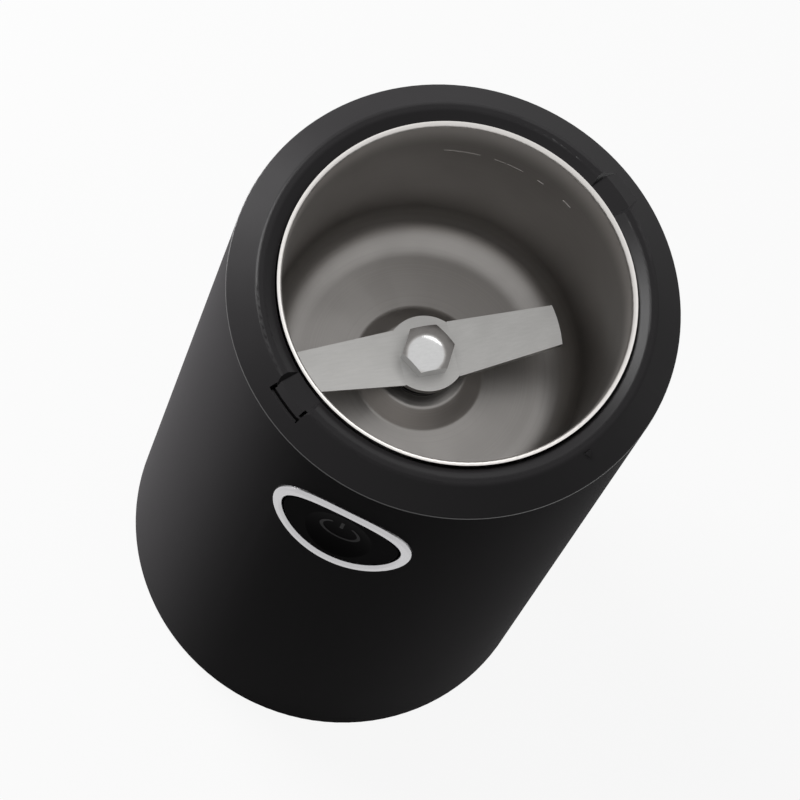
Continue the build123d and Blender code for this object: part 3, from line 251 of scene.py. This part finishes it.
# %% Moulded plastic and rubber
def moulded(name, colour, cloud_colour, roughness, grain, depth, specular):
    """Plastic or rubber: grain and depth in metres, roughness from the smoothest to the dullest spot."""
    cloud = 18 * MM
    material, tree, place = start_finish(name)
    clouds = add_node(tree, "TexNoise", {"Vector": place, "Scale": 1 / cloud, "Detail": 3.0, "Roughness": 0.6})
    grains = add_node(tree, "TexNoise", {"Vector": place, "Scale": 1 / grain, "Detail": 2.0, "Roughness": 0.7})
    tone = add_node(tree, "Mix", {0: clouds.outputs["Fac"], 6: linear(colour), 7: linear(cloud_colour)},
                    data_type="RGBA")
    dull = add_node(tree, "MapRange", {"Value": clouds.outputs["Fac"], "From Min": 0.3, "From Max": 0.7,
                                       "To Min": roughness[0], "To Max": roughness[1]})
    bump = add_node(tree, "Bump", {"Height": grains.outputs["Fac"], "Strength": 0.6, "Distance": depth})
    show(tree, add_node(tree, "BsdfPrincipled", {
        "Base Color": tone.outputs[2], "Roughness": dull.outputs[0], "Normal": bump.outputs[0],
        "Specular IOR Level": specular}))
    return material


finish = {
    # Soft-touch lacquer over ABS: near black and dull, with hardly a mirror; its fine grain is drawn at 0.5 mm
    "body_black": moulded("soft_touch_lacquer", "#2b2a2b", "#2d2c2d", (0.48, 0.50), 0.5 * MM, 0.010 * MM, 0.001),
    # Satin ABS with a spark-eroded grain: smoother than the lacquer, so lamps draw soft lines on its curves
    "collar_black": moulded("satin_abs_black", "#1c1b1c", "#1e1d1e", (0.32, 0.36), 0.4 * MM, 0.008 * MM, 0.10),
    # Base and hub: plain ABS from a coarser tool
    "base_black": moulded("textured_abs_black", "#191919", "#1f1f1f", (0.50, 0.60), 0.6 * MM, 0.030 * MM, 0.35),
    "hub_black": moulded("acetal_black", "#161616", "#1b1b1b", (0.34, 0.42), 0.5 * MM, 0.006 * MM, 0.45),
    # Button: the darkest and least shiny, so its dish reads as a hollow in the ring
    "button_black": moulded("satin_abs_button", "#111011", "#131213", (0.36, 0.38), 0.4 * MM, 0.004 * MM, 0.001),
    # Rubber: dull, with a bloom that is a shade lighter
    "foot_rubber": moulded("nitrile_rubber", "#171717", "#202020", (0.72, 0.85), 0.5 * MM, 0.025 * MM, 0.30),
    "seal_rubber": moulded("silicone_rubber_black", "#191919", "#212121", (0.55, 0.68), 0.5 * MM, 0.015 * MM, 0.35),
    # Inside: glass-filled nylon, and the moulded fan, switches, plungers and terminal block
    "frame_grey": moulded("glass_filled_nylon", "#565656", "#626261", (0.50, 0.66), 0.4 * MM, 0.020 * MM, 0.45),
    "fan_plastic": moulded("polypropylene_fan", "#343438", "#3b3b40", (0.40, 0.50), 0.6 * MM, 0.010 * MM, 0.45),
    "switch_black": moulded("phenolic_black", "#1b1a19", "#242220", (0.42, 0.55), 0.4 * MM, 0.012 * MM, 0.45),
    "plunger_red": moulded("acetal_red", "#a52f24", "#b0382b", (0.26, 0.34), 0.5 * MM, 0.004 * MM, 0.50),
    "block_white": moulded("polyamide_white", "#dcdad3", "#e4e2dc", (0.42, 0.52), 0.5 * MM, 0.010 * MM, 0.50),
    "suppressor_yellow": moulded("epoxy_yellow", "#d9b44a", "#e0bd58", (0.24, 0.34), 0.8 * MM, 0.008 * MM, 0.50),
    # Pressed carbon: soft black with a coarse dull grain
    "brush_carbon": moulded("pressed_carbon", "#1c1b1a", "#2a2826", (0.60, 0.75), 0.3 * MM, 0.030 * MM, 0.40),
}
print(len(finish), "moulded finishes")

# %% [markdown]
# The bowl is drawn from stainless sheet and polished while it spins, so its lines run round it: along the wall
# they are level rings, and on the floor they are circles. One coordinate gives both, the distance from the
# axis less the height, because it changes along the wall and along the floor alike. The rings are about
# 0.3 mm wide on the real one, near the size of a pixel, and are drawn at 0.5 mm. Light streaks along such
# lines, which Blender calls anisotropy.

# %% Turned steel
def turned(name, colour, ring_colour, roughness, ring, depth, anisotropy, painted_highlight=None):
    """Steel or copper with lines round the Z axis: ring is the width of a line, in metres.
    The last argument, if given, is a painted highlight: where a paler band starts, where it is full, and its
    colour."""
    smear = 12 * MM
    material, tree, place = start_finish(name)
    flat = add_node(tree, "VectorMath", {0: place, 1: (1, 1, 0)}, operation="MULTIPLY")
    reach = add_node(tree, "VectorMath", {0: flat.outputs[0]}, operation="LENGTH")
    parts = add_node(tree, "SeparateXYZ", {0: place})
    travel = add_node(tree, "Math", {0: reach.outputs["Value"], 1: parts.outputs["Z"]}, operation="SUBTRACT")
    rings = add_node(tree, "TexNoise", {
        "W": travel.outputs[0], "Scale": 1 / ring, "Detail": 4.0, "Roughness": 0.7}, noise_dimensions="1D")
    smears = add_node(tree, "TexNoise", {"Vector": place, "Scale": 1 / smear, "Detail": 2.0})
    tone = add_node(tree, "Mix", {0: rings.outputs["Fac"], 6: linear(colour), 7: linear(ring_colour)},
                    data_type="RGBA")
    # A painted highlight: the steel turns paler towards the top, in place of the light that a rolled lip catches.
    if painted_highlight:
        start, full, pale = painted_highlight
        band = add_node(tree, "MapRange", {"Value": parts.outputs["Z"], "From Min": start, "From Max": full},
                        interpolation_type="SMOOTHSTEP")
        tone = add_node(tree, "Mix", {0: band.outputs[0], 6: tone.outputs[2], 7: linear(pale)},
                        data_type="RGBA")
    mixed = add_node(tree, "Math", {0: rings.outputs["Fac"], 1: smears.outputs["Fac"]}, operation="MULTIPLY")
    dull = add_node(tree, "MapRange", {"Value": mixed.outputs[0], "From Min": 0.1, "From Max": 0.45,
                                       "To Min": roughness[0], "To Max": roughness[1]})
    bump = add_node(tree, "Bump", {"Height": rings.outputs["Fac"], "Strength": 0.5, "Distance": depth})
    around = add_node(tree, "Tangent", direction_type="RADIAL", axis="Z")
    show(tree, add_node(tree, "BsdfPrincipled", {
        "Base Color": tone.outputs[2], "Metallic": 1.0, "Roughness": dull.outputs[0], "Normal": bump.outputs[0],
        "Anisotropic": anisotropy, "Tangent": around.outputs[0]}))
    return material


# Spun stainless bowl: satin inside, with a painted highlight, a band paler towards the lip that stands in for the
# gleam of its rolled edge
lip_painted_highlight = (cad_high.z - 9 * MM, cad_high.z - 1 * MM, "#d6d3d0")
finish["bowl_steel"] = turned(
    "spun_stainless_steel", "#918e8c", "#a6a3a0", (0.36, 0.48), 0.5 * MM, 0.004 * MM, 0.5, lip_painted_highlight)
# Ground shaft and turned commutator: finer lines and a brighter polish
finish["shaft_steel"] = turned(
    "ground_shaft_steel", "#a9a9a8", "#bdbdbb", (0.18, 0.28), 0.4 * MM, 0.003 * MM, 0.4)
finish["commutator_copper"] = turned(
    "turned_copper", "#b0714e", "#c08261", (0.26, 0.36), 0.5 * MM, 0.006 * MM, 0.4)
print("turned finishes:", [finish[s].name for s in ("bowl_steel", "shaft_steel", "commutator_copper")])

# %% [markdown]
# Ground, plated and cast metal share another tree: long fine scratches one way, and spots where the plating
# or the casting is duller. The scratches are noise that is stretched along the piece, which a Mapping node
# does by squeezing one axis, after turning it to lie along the blade.

# %% Ground and plated metal
def ground(name, colour, streak_colour, roughness, grain, depth, stretch, turn):
    """Metal with lines along one level direction: turn in degrees about Z, stretch 1 is an even speckle."""
    spot = 5 * MM
    material, tree, place = start_finish(name)
    along = add_node(tree, "Mapping", {"Vector": place, "Rotation": (0, 0, math.radians(-turn))},
                     vector_type="POINT")
    squeezed = add_node(tree, "Mapping", {"Vector": along.outputs[0], "Scale": (1 / stretch, 1, 1)},
                        vector_type="POINT")
    streaks = add_node(tree, "TexNoise", {
        "Vector": squeezed.outputs[0], "Scale": 1 / grain, "Detail": 4.0, "Roughness": 0.7})
    spots = add_node(tree, "TexNoise", {"Vector": place, "Scale": 1 / spot, "Detail": 2.0})
    tone = add_node(tree, "Mix", {0: streaks.outputs["Fac"], 6: linear(colour), 7: linear(streak_colour)},
                    data_type="RGBA")
    mixed = add_node(tree, "Math", {0: streaks.outputs["Fac"], 1: spots.outputs["Fac"]}, operation="MULTIPLY")
    dull = add_node(tree, "MapRange", {"Value": mixed.outputs[0], "From Min": 0.1, "From Max": 0.45,
                                       "To Min": roughness[0], "To Max": roughness[1]})
    bump = add_node(tree, "Bump", {"Height": streaks.outputs["Fac"], "Strength": 0.4, "Distance": depth})
    show(tree, add_node(tree, "BsdfPrincipled", {
        "Base Color": tone.outputs[2], "Metallic": 1.0, "Roughness": dull.outputs[0],
        "Normal": bump.outputs[0]}))
    return material


blade_turn = 38  # degrees about Z at which the blade lies
# Ground stainless blade: lines along its length, brighter than the bowl; the polished nut is brighter still
finish["blade_steel"] = ground(
    "ground_stainless_steel", "#a5a4a2", "#bbbab8", (0.36, 0.46), 0.5 * MM, 0.006 * MM, 14, blade_turn)
finish["nut_steel"] = ground(
    "polished_nut_steel", "#c4c4c4", "#d4d4d4", (0.10, 0.18), 0.6 * MM, 0.002 * MM, 3, blade_turn)
# Satin chrome on the ring: smooth and pale, with the faint ripple that plated plastic has
finish["bezel_chrome"] = ground(
    "satin_chrome_plating", "#bab9bb", "#c6c5c7", (0.16, 0.24), 3.0 * MM, 0.004 * MM, 1, 0)
# Zinc on the screws: greyish, spotted; drawn wire is plainer and smoother
finish["screw_zinc"] = ground(
    "zinc_plated_steel", "#a7a8a4", "#bbbcb8", (0.30, 0.45), 0.6 * MM, 0.006 * MM, 1, 0)
finish["spring_steel"] = ground(
    "drawn_spring_wire", "#9a9a98", "#b0b0ae", (0.24, 0.36), 0.4 * MM, 0.003 * MM, 1, 0)
# Die-cast aluminium: pale, dull and pebbled
finish["bracket_aluminium"] = ground(
    "die_cast_aluminium", "#a3a3a2", "#b8b8b7", (0.45, 0.60), 0.7 * MM, 0.030 * MM, 1, 0)
# Sintered bronze and sheet brass: a dull yellow with fine pores
finish["bearing_bronze"] = ground(
    "sintered_bronze", "#9c8050", "#b39663", (0.34, 0.48), 0.3 * MM, 0.010 * MM, 1, 0)
print(len(finish), "finishes so far")

# %% [markdown]
# Two finishes of the motor are patterns with a known pitch. The iron cores are stacks of sheet 0.5 mm thick,
# so they show level lines at that pitch, and the coils are enamelled wire 0.6 mm thick, laid side by side.
# A wave texture draws both: its bands run along Z for the sheets and for the wires that lie round the axis.

# %% Stacked iron and wound wire
def banded(name, colour, gap_colour, pitch, depth, roughness):
    """Level bands of one pitch, in metres, with a darker line between them."""
    blotch = 3 * MM
    wave_scale = 2 * math.pi / 20 / pitch  # at scale 1 a wave texture has 20 bands in 2 pi metres
    material, tree, place = start_finish(name)
    waves = add_node(tree, "TexWave", {"Vector": place, "Scale": wave_scale, "Distortion": 0.4, "Detail": 1.0},
                     wave_type="BANDS", bands_direction="Z", wave_profile="SIN")
    blotches = add_node(tree, "TexNoise", {"Vector": place, "Scale": 1 / blotch, "Detail": 2.0})
    tone = add_node(tree, "Mix", {0: waves.outputs["Fac"], 6: linear(gap_colour), 7: linear(colour)},
                    data_type="RGBA")
    dull = add_node(tree, "MapRange", {"Value": blotches.outputs["Fac"], "From Min": 0.3, "From Max": 0.7,
                                       "To Min": roughness[0], "To Max": roughness[1]})
    bump = add_node(tree, "Bump", {"Height": waves.outputs["Fac"], "Strength": 0.8, "Distance": depth})
    show(tree, add_node(tree, "BsdfPrincipled", {
        "Base Color": tone.outputs[2], "Metallic": 1.0, "Roughness": dull.outputs[0],
        "Normal": bump.outputs[0]}))
    return material


# Stacked sheet iron: blue grey with dark lines where the sheets meet
finish["lamination_steel"] = banded(
    "stacked_electrical_steel", "#626468", "#3a3b3e", 0.5 * MM, 0.04 * MM, (0.40, 0.55))
# Enamelled copper: round wires side by side, glossy and red brown
finish["copper_wire"] = banded(
    "enamelled_copper_wire", "#b4562a", "#5c2713", 0.6 * MM, 0.15 * MM, (0.22, 0.32))
print(len(finish), "finishes in all")

# %% [markdown]
# Each CAD node takes the finish of its slot in the record. The solids keep their own meshes, because their
# shapes are already right, and only the material in their first slot changes.

# %% Dress the CAD nodes
nodes_of_slot = {
    "screw_zinc": "base_screws collar_screws mount_screws motor_bolts switch_screws clamp_screws",
    "body_black": "body_shell", "base_black": "base_cover", "foot_rubber": "rubber_feet",
    "collar_black": "top_collar interlock_plunger", "bowl_steel": "grinding_bowl",
    "seal_rubber": "shaft_seal motor_mounts cord_grommet", "blade_steel": "blade", "hub_black": "blade_hub",
    "nut_steel": "blade_nut", "frame_grey": "inner_frame switch_bracket cord_clamp",
    "bracket_aluminium": "motor_top_bracket motor_bottom_bracket",
    "bearing_bronze": "upper_bearing lower_bearing brush_holders", "lamination_steel": "stator_core armature_core",
    "copper_wire": "field_coils armature_winding", "shaft_steel": "motor_shaft", "commutator_copper": "commutator",
    "fan_plastic": "fan", "switch_black": "brush_caps start_switch interlock_switch",
    "brush_carbon": "brush_front brush_rear",
    "spring_steel": "brush_spring_front brush_spring_rear button_spring interlock_spring",
    "bezel_chrome": "button_bezel", "button_black": "button", "plunger_red": "switch_plunger interlock_contact",
    "block_white": "terminal_block", "suppressor_yellow": "suppressor",
}
dressed = set()
for slot, names in nodes_of_slot.items():
    for name in names.split():
        node_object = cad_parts[name]
        node_object.data.materials.clear()
        node_object.data.materials.append(finish[slot])
        dressed.add(name)
print(len(dressed), "nodes dressed, left over:", sorted(set(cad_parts) - dressed))

# %% [markdown]
# The button carries a power sign, a ring that is open at the top with a bar in the gap. On the real one it is
# printed in dark grey, thin and flush with the dish. It could be painted by a texture, but an edge as sharp as
# a print needs many pixels, so it is a thin skin: a disc is inset to a ring, the gap is cut, a bar is added,
# and the flat sign is pressed onto the dish by a Shrinkwrap modifier before it gets its thickness.

# %% Draw the flat sign
button_low, button_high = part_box("button")
button_middle = (button_low + button_high) / 2
sign_radius = 4.6 * MM
sign_stroke = 0.75 * MM
sign_lift = 1.6 * MM
sign_gap = math.radians(32)  # half of the opening
bar_length = 4.2 * MM
bar_sink = 0.32  # how far its middle lies below the ring's top, as a share of its length
sign_middle = Vector((0, button_low.y - 1 * MM, button_middle.z + sign_lift))


def pick_faces(piece, wanted):
    """Selects the faces whose middle passes the test, and nothing else, and leaves the piece in edit mode."""
    bpy.ops.object.mode_set(mode="EDIT")
    bpy.ops.mesh.select_mode(type="FACE")
    bpy.ops.mesh.select_all(action="DESELECT")
    bpy.ops.object.mode_set(mode="OBJECT")
    for face in piece.data.polygons:
        face.select = wanted(face)
    bpy.ops.object.mode_set(mode="EDIT")


bpy.ops.object.select_all(action="DESELECT")
bpy.ops.mesh.primitive_circle_add(vertices=160, radius=sign_radius, fill_type="NGON", location=sign_middle,
                                  rotation=(math.pi / 2, 0, 0))
power_sign = bpy.context.object
power_sign.name = "power_sign"
bpy.ops.object.transform_apply(location=True, rotation=True, scale=True)
bpy.ops.object.mode_set(mode="EDIT")
bpy.ops.mesh.select_all(action="SELECT")
bpy.ops.mesh.inset(thickness=sign_stroke)
bpy.ops.mesh.delete(type="FACE")
pick_faces(power_sign, lambda face: abs(math.atan2(face.center.x, face.center.z - sign_middle.z)) < sign_gap)
bpy.ops.mesh.delete(type="FACE")
bar_middle = sign_middle + Vector((0, 0, sign_radius - bar_length * bar_sink))
bpy.ops.mesh.primitive_plane_add(size=bar_length, location=bar_middle, rotation=(math.pi / 2, 0, 0))
bpy.ops.transform.resize(value=(sign_stroke / bar_length, 1, 1), center_override=bar_middle)
bpy.ops.mesh.bevel(offset=sign_stroke * 0.3, segments=4, affect="VERTICES")
bpy.ops.object.mode_set(mode="OBJECT")
sign_size = [round(d / MM, 2) for d in power_sign.dimensions]
print("flat sign", sign_size, "mm,", len(power_sign.data.polygons), "faces")

# %% Press the sign onto the dish
ink_lift = 0.015 * MM
ink_thickness = 0.03 * MM
wrap = power_sign.modifiers.new("On the dish", "SHRINKWRAP")
wrap.wrap_method = "PROJECT"
wrap.use_project_y = True
wrap.use_negative_direction = True
wrap.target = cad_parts["button"]
wrap.offset = ink_lift
skin = power_sign.modifiers.new("Ink", "SOLIDIFY")
skin.thickness = ink_thickness
skin.offset = 1
for modifier in ("On the dish", "Ink"):
    bpy.ops.object.modifier_apply(modifier=modifier)
# Pad-printed ink, dark grey on black: duller than the button under it
ink = moulded("pad_printed_ink", "#2b2a2b", "#2f2e2f", (0.45, 0.55), 0.4 * MM, 0.003 * MM, 0.02)
power_sign.data.materials.append(ink)
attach(power_sign, "start_button")
print("sign lies at y", round(max(v.co.y for v in power_sign.data.vertices) / MM, 2), "mm")

# %% [markdown]
# Stamped dashes on the far wall of the bowl say how high it may be filled. They are raised by a fraction of a
# millimetre in the same steel. A band that tapers with the wall is cut from a cone, all but the dashes is
# deleted, and a Solidify modifier gives them their height. The wall's radius is measured by a ray from the
# axis, so the dashes touch it wherever the CAD puts it.

# %% Stamp the fill marks
mark_height = 153 * MM
mark_width = 0.9 * MM
mark_thickness = 0.22 * MM  # half of it stands out of the wall
mark_ease = 0.05 * MM
# Where each dash starts and ends, in degrees about Z
dashes = [(116.2, 103.5), (98.7, 94.5), (93.9, 88.1), (82.7, 80.2), (71.4, 68.1)]
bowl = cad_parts["grinding_bowl"]


def wall_radius(height):
    """How far the bowl's wall is from the axis, where a level ray meets it."""
    where = bowl.ray_cast(Vector((0, 0, height)), Vector((0, 1, 0)))[1]
    return where.y


low_radius = wall_radius(mark_height - mark_width / 2)
high_radius = wall_radius(mark_height + mark_width / 2)
bpy.ops.object.select_all(action="DESELECT")
bpy.ops.mesh.primitive_cone_add(vertices=720, radius1=low_radius, radius2=high_radius, depth=mark_width,
                                end_fill_type="NOTHING", location=(0, 0, mark_height))
fill_marks = bpy.context.object
fill_marks.name = "fill_marks"
bpy.ops.object.transform_apply(location=True, rotation=True, scale=True)
pick_faces(fill_marks, lambda face: not any(
    end < math.degrees(math.atan2(face.center.y, face.center.x)) < start for start, end in dashes))
bpy.ops.mesh.delete(type="FACE")
bpy.ops.object.mode_set(mode="OBJECT")
raised = fill_marks.modifiers.new("Height", "SOLIDIFY")
raised.thickness = mark_thickness
raised.offset = 0
eased = fill_marks.modifiers.new("Eased edge", "BEVEL")
eased.width = mark_ease
eased.segments = 2
for modifier in ("Height", "Eased edge"):
    bpy.ops.object.modifier_apply(modifier=modifier)
fill_marks.data.materials.append(finish["bowl_steel"])
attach(fill_marks, "housing")
print(len(dashes), "dashes at radius", round(low_radius / MM, 2), "to", round(high_radius / MM, 2), "mm")

# %% [markdown]
# The sheet of the bowl is rolled over at its lip, so the far side shows a broad soft gleam and the near side a
# thin one. The solid has a flat rim there, above a straight flare. A copy of it is cut off under the flare, and
# the wall is drawn up again in small steps along a quarter of an ellipse: each step extrudes the open edge and
# widens it. A ring of faces closes the top of the rim.

# %% Cut a copy of the bowl below its flare
roll_drop = 1.9 * MM  # from the rim down to the cut
roll_steps = 12
rim_flat = 0.15 * MM  # what is left level at the top of the rim
fullness = 0.75  # 1 is a plain ellipse, and less bulges more
hair = 0.001 * MM  # points closer than this count as one
smooth_limit = math.radians(35)  # faces that meet at more than this keep a sharp edge
cut_height = cad_high.z - roll_drop
bpy.ops.object.select_all(action="DESELECT")
bowl.select_set(True)
bpy.context.view_layer.objects.active = bowl
bpy.ops.object.duplicate()
rolled_bowl = bpy.context.object
rolled_bowl.name = "grinding_bowl_rolled"
bpy.ops.object.mode_set(mode="EDIT")
bpy.ops.mesh.select_mode(type="VERT")
bpy.ops.mesh.select_all(action="SELECT")
bpy.ops.mesh.remove_doubles(threshold=hair)
bpy.ops.mesh.select_all(action="SELECT")
bpy.ops.mesh.bisect(plane_co=(0, 0, cut_height), plane_no=(0, 0, 1), clear_outer=True, threshold=hair / 10)
bpy.ops.object.mode_set(mode="OBJECT")
cut_reaches = [round(v.co.xy.length, 6) for v in rolled_bowl.data.vertices if v.co.z > cut_height - hair]
inner_reach, outer_reach = min(cut_reaches), max(cut_reaches)
print("the cut wall lies from", round(inner_reach / MM, 2), "to", round(outer_reach / MM, 2), "mm out")

# %% Draw the lip up again
def pick_edge(piece, height, nearest, farthest):
    """Selects the ring of points at a height, between two distances from the axis, and nothing else."""
    bpy.ops.object.mode_set(mode="EDIT")
    bpy.ops.mesh.select_all(action="DESELECT")
    bpy.ops.object.mode_set(mode="OBJECT")
    for point in piece.data.vertices:
        point.select = abs(point.co.z - height) < hair and nearest < point.co.xy.length < farthest
    bpy.ops.object.mode_set(mode="EDIT")


def draw_up(places):
    """Extrudes the picked ring through pairs of distance and height, the first of which it has already."""
    for (reach, height), (next_reach, next_height) in zip(places, places[1:]):
        bpy.ops.mesh.extrude_region_move(TRANSFORM_OT_translate={"value": (0, 0, next_height - height)})
        growth = next_reach / reach
        bpy.ops.transform.resize(value=(growth, growth, 1), center_override=(0, 0, next_height))
    bpy.ops.object.mode_set(mode="OBJECT")


middle_reach = (inner_reach + outer_reach) / 2
rim_reach = max(v.co.xy.length for v in bowl.data.vertices if v.co.z > cut_height)
far_reach = 2 * rim_reach  # farther out than any point
roll_width = rim_reach - rim_flat - inner_reach
quarter = [math.pi / 2 * step / roll_steps for step in range(roll_steps + 1)]
pick_edge(rolled_bowl, cut_height, 0, middle_reach)
draw_up([(inner_reach + roll_width * (1 - max(math.cos(a), 0) ** fullness),
          cut_height + roll_drop * math.sin(a) ** fullness) for a in quarter])
pick_edge(rolled_bowl, cut_height, middle_reach, far_reach)
draw_up([(outer_reach, cut_height), (rim_reach, cad_high.z)])
pick_edge(rolled_bowl, cad_high.z, 0, far_reach)
bpy.ops.mesh.fill()
bpy.ops.mesh.select_all(action="SELECT")
bpy.ops.mesh.normals_make_consistent(inside=False)
bpy.ops.object.mode_set(mode="OBJECT")
bpy.ops.object.shade_smooth_by_angle(angle=smooth_limit)
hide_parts("grinding_bowl")
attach(rolled_bowl, "housing")
shade_from_lamps(rolled_bowl)
bowl_size = [round(d / MM, 2) for d in rolled_bowl.dimensions]
print("rolled bowl", bowl_size, "mm,", len(rolled_bowl.data.polygons), "faces")

# %% [markdown]
# Four screws hold the base cover, and their heads are what a hand turns, so they get the cross that a driver
# fits. One screw is modelled upside down as it stands in the object: a disc for the head, whose upper face is
# inset and drawn up as the shank, and a cross cut out of the lower face by a Boolean modifier. The other three
# are copies, each stopped at another angle, as screws are.

# %% Model one base screw
screws_low, screws_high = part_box("base_screws")
head_radius = 2.8 * MM
head_height = 1.3 * MM
head_ease = 0.3 * MM
shank_radius = 1.5 * MM
cross_size = (3.2 * MM, 0.8 * MM, 1.7 * MM)  # one bar of the cross; half of its height is in the head
screw_place = screws_high.x - head_radius

bpy.ops.object.select_all(action="DESELECT")
bpy.ops.mesh.primitive_cylinder_add(vertices=64, radius=head_radius, depth=head_height,
                                    location=(0, 0, screws_low.z + head_height / 2))
screw = bpy.context.object
screw.name = "base_screws_crossed"
bpy.ops.object.transform_apply(location=True, rotation=True, scale=True)
head_top = screws_low.z + head_height
pick_faces(screw, lambda face: face.normal.z > 0.9)
bpy.ops.mesh.inset(thickness=head_radius - shank_radius)
bpy.ops.mesh.extrude_region_move(TRANSFORM_OT_translate={"value": (0, 0, screws_high.z - head_top)})
pick_faces(screw, lambda face: face.normal.z < -0.9 and face.center.z < head_top - head_height / 2)
bpy.ops.mesh.bevel(offset=head_ease, segments=3, affect="EDGES")
bpy.ops.object.mode_set(mode="OBJECT")

bpy.ops.mesh.primitive_cube_add(size=1, location=(0, 0, screws_low.z), scale=cross_size)
cross = bpy.context.object
bpy.ops.object.mode_set(mode="EDIT")
bpy.ops.mesh.duplicate()
bpy.ops.transform.rotate(value=math.pi / 2, orient_axis="Z", center_override=(0, 0, screws_low.z))
bpy.ops.object.mode_set(mode="OBJECT")
bpy.ops.object.transform_apply(location=True, rotation=True, scale=True)
bpy.ops.object.select_all(action="DESELECT")
bpy.context.view_layer.objects.active = screw
screw.select_set(True)
recess = screw.modifiers.new("Cross", "BOOLEAN")
recess.operation = "DIFFERENCE"
recess.object = cross
recess.use_self = True
bpy.ops.object.modifier_apply(modifier="Cross")
bpy.data.objects.remove(cross)
print("screw", [round(d / MM, 2) for d in screw.dimensions], "mm,", len(screw.data.polygons), "faces")

# %% Copy it to its four places
corners = [(1, 1), (-1, 1), (-1, -1), (1, -1)]
stops = [12, 47, 75, 28]  # degrees at which each screw came to rest
copies = [screw]
while len(copies) < len(corners):
    bpy.ops.object.duplicate()
    copies.append(bpy.context.object)
for piece, (x, y), angle in zip(copies, corners, stops):
    piece.location = (x * screw_place, y * screw_place, 0)
    piece.rotation_euler.z = math.radians(angle)
bpy.ops.object.select_all(action="DESELECT")
for piece in copies:
    piece.select_set(True)
bpy.context.view_layer.objects.active = screw
bpy.ops.object.transform_apply(location=True, rotation=True, scale=True)
bpy.ops.object.join()
bpy.ops.object.shade_smooth_by_angle(angle=smooth_limit)
screw.data.materials.clear()
screw.data.materials.append(finish["screw_zinc"])
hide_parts("base_screws")
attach(screw, "housing")
print("four screws", [round(d / MM, 1) for d in screw.dimensions], "mm across")

# %% [markdown]
# Four springs push back what is pressed: one behind the button, one under the lid interlock and one behind each
# brush. A solid from the CAD model keeps its length, so a pressed piece would run through it. Each spring is
# wound again here: a small circle is the section of the wire, and a Screw modifier sweeps it round and up.

# %% Wind the springs
def wind_spring(node, way, wire, turns):
    """Way points from the end that stays to the end that moves, and wire is the wire's thickness in metres."""
    low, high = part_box(node)
    way = Vector(way)
    span = high - low
    length = abs(span.dot(way))
    radius = max(span - way * span.dot(way)) / 2 - wire / 2
    fixed_end = (low + high) / 2 - way * length / 2

    bpy.ops.object.select_all(action="DESELECT")
    bpy.ops.mesh.primitive_circle_add(vertices=16, radius=wire / 2, location=(radius, 0, wire / 2),
                                      rotation=(math.pi / 2, 0, 0))
    spring = bpy.context.object
    spring.name = node + "_wound"
    bpy.ops.object.transform_apply(location=True, rotation=True, scale=True)
    winding = spring.modifiers.new("Winding", "SCREW")
    winding.iterations = turns
    winding.screw_offset = (length - wire) / turns
    winding.steps = winding.render_steps = 48
    bpy.ops.object.modifier_apply(modifier="Winding")
    bpy.ops.object.mode_set(mode="EDIT")
    bpy.ops.mesh.select_all(action="SELECT")
    bpy.ops.mesh.fill_holes(sides=0)
    bpy.ops.mesh.select_all(action="SELECT")
    bpy.ops.mesh.normals_make_consistent(inside=False)
    bpy.ops.object.mode_set(mode="OBJECT")
    spring.rotation_euler = way.to_track_quat("Z", "Y").to_euler()
    spring.location = fixed_end
    bpy.ops.object.transform_apply(location=True, rotation=True, scale=True)
    bpy.ops.object.shade_smooth_by_angle(angle=smooth_limit)
    spring.data.materials.append(finish["spring_steel"])

    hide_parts(node)
    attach(spring, "housing")
    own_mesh(spring)


wind_spring("button_spring", (0, -1, 0), 0.7 * MM, 3)
wind_spring("interlock_spring", (0, 0, 1), 0.4 * MM, 3)
wind_spring("brush_spring_front", (0, 1, 0), 0.4 * MM, 4)
wind_spring("brush_spring_rear", (0, -1, 0), 0.4 * MM, 4)

# %% [markdown]
# Last, the box of the dressed model is set beside the box of the bare CAD model, since looks never change the
# size.

# %% Compare the boxes
seen_low, seen_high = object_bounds()
apart = max((cad_low - seen_low).length, (cad_high - seen_high).length)
print("boxes differ by", round(apart / MM, 3), "mm")
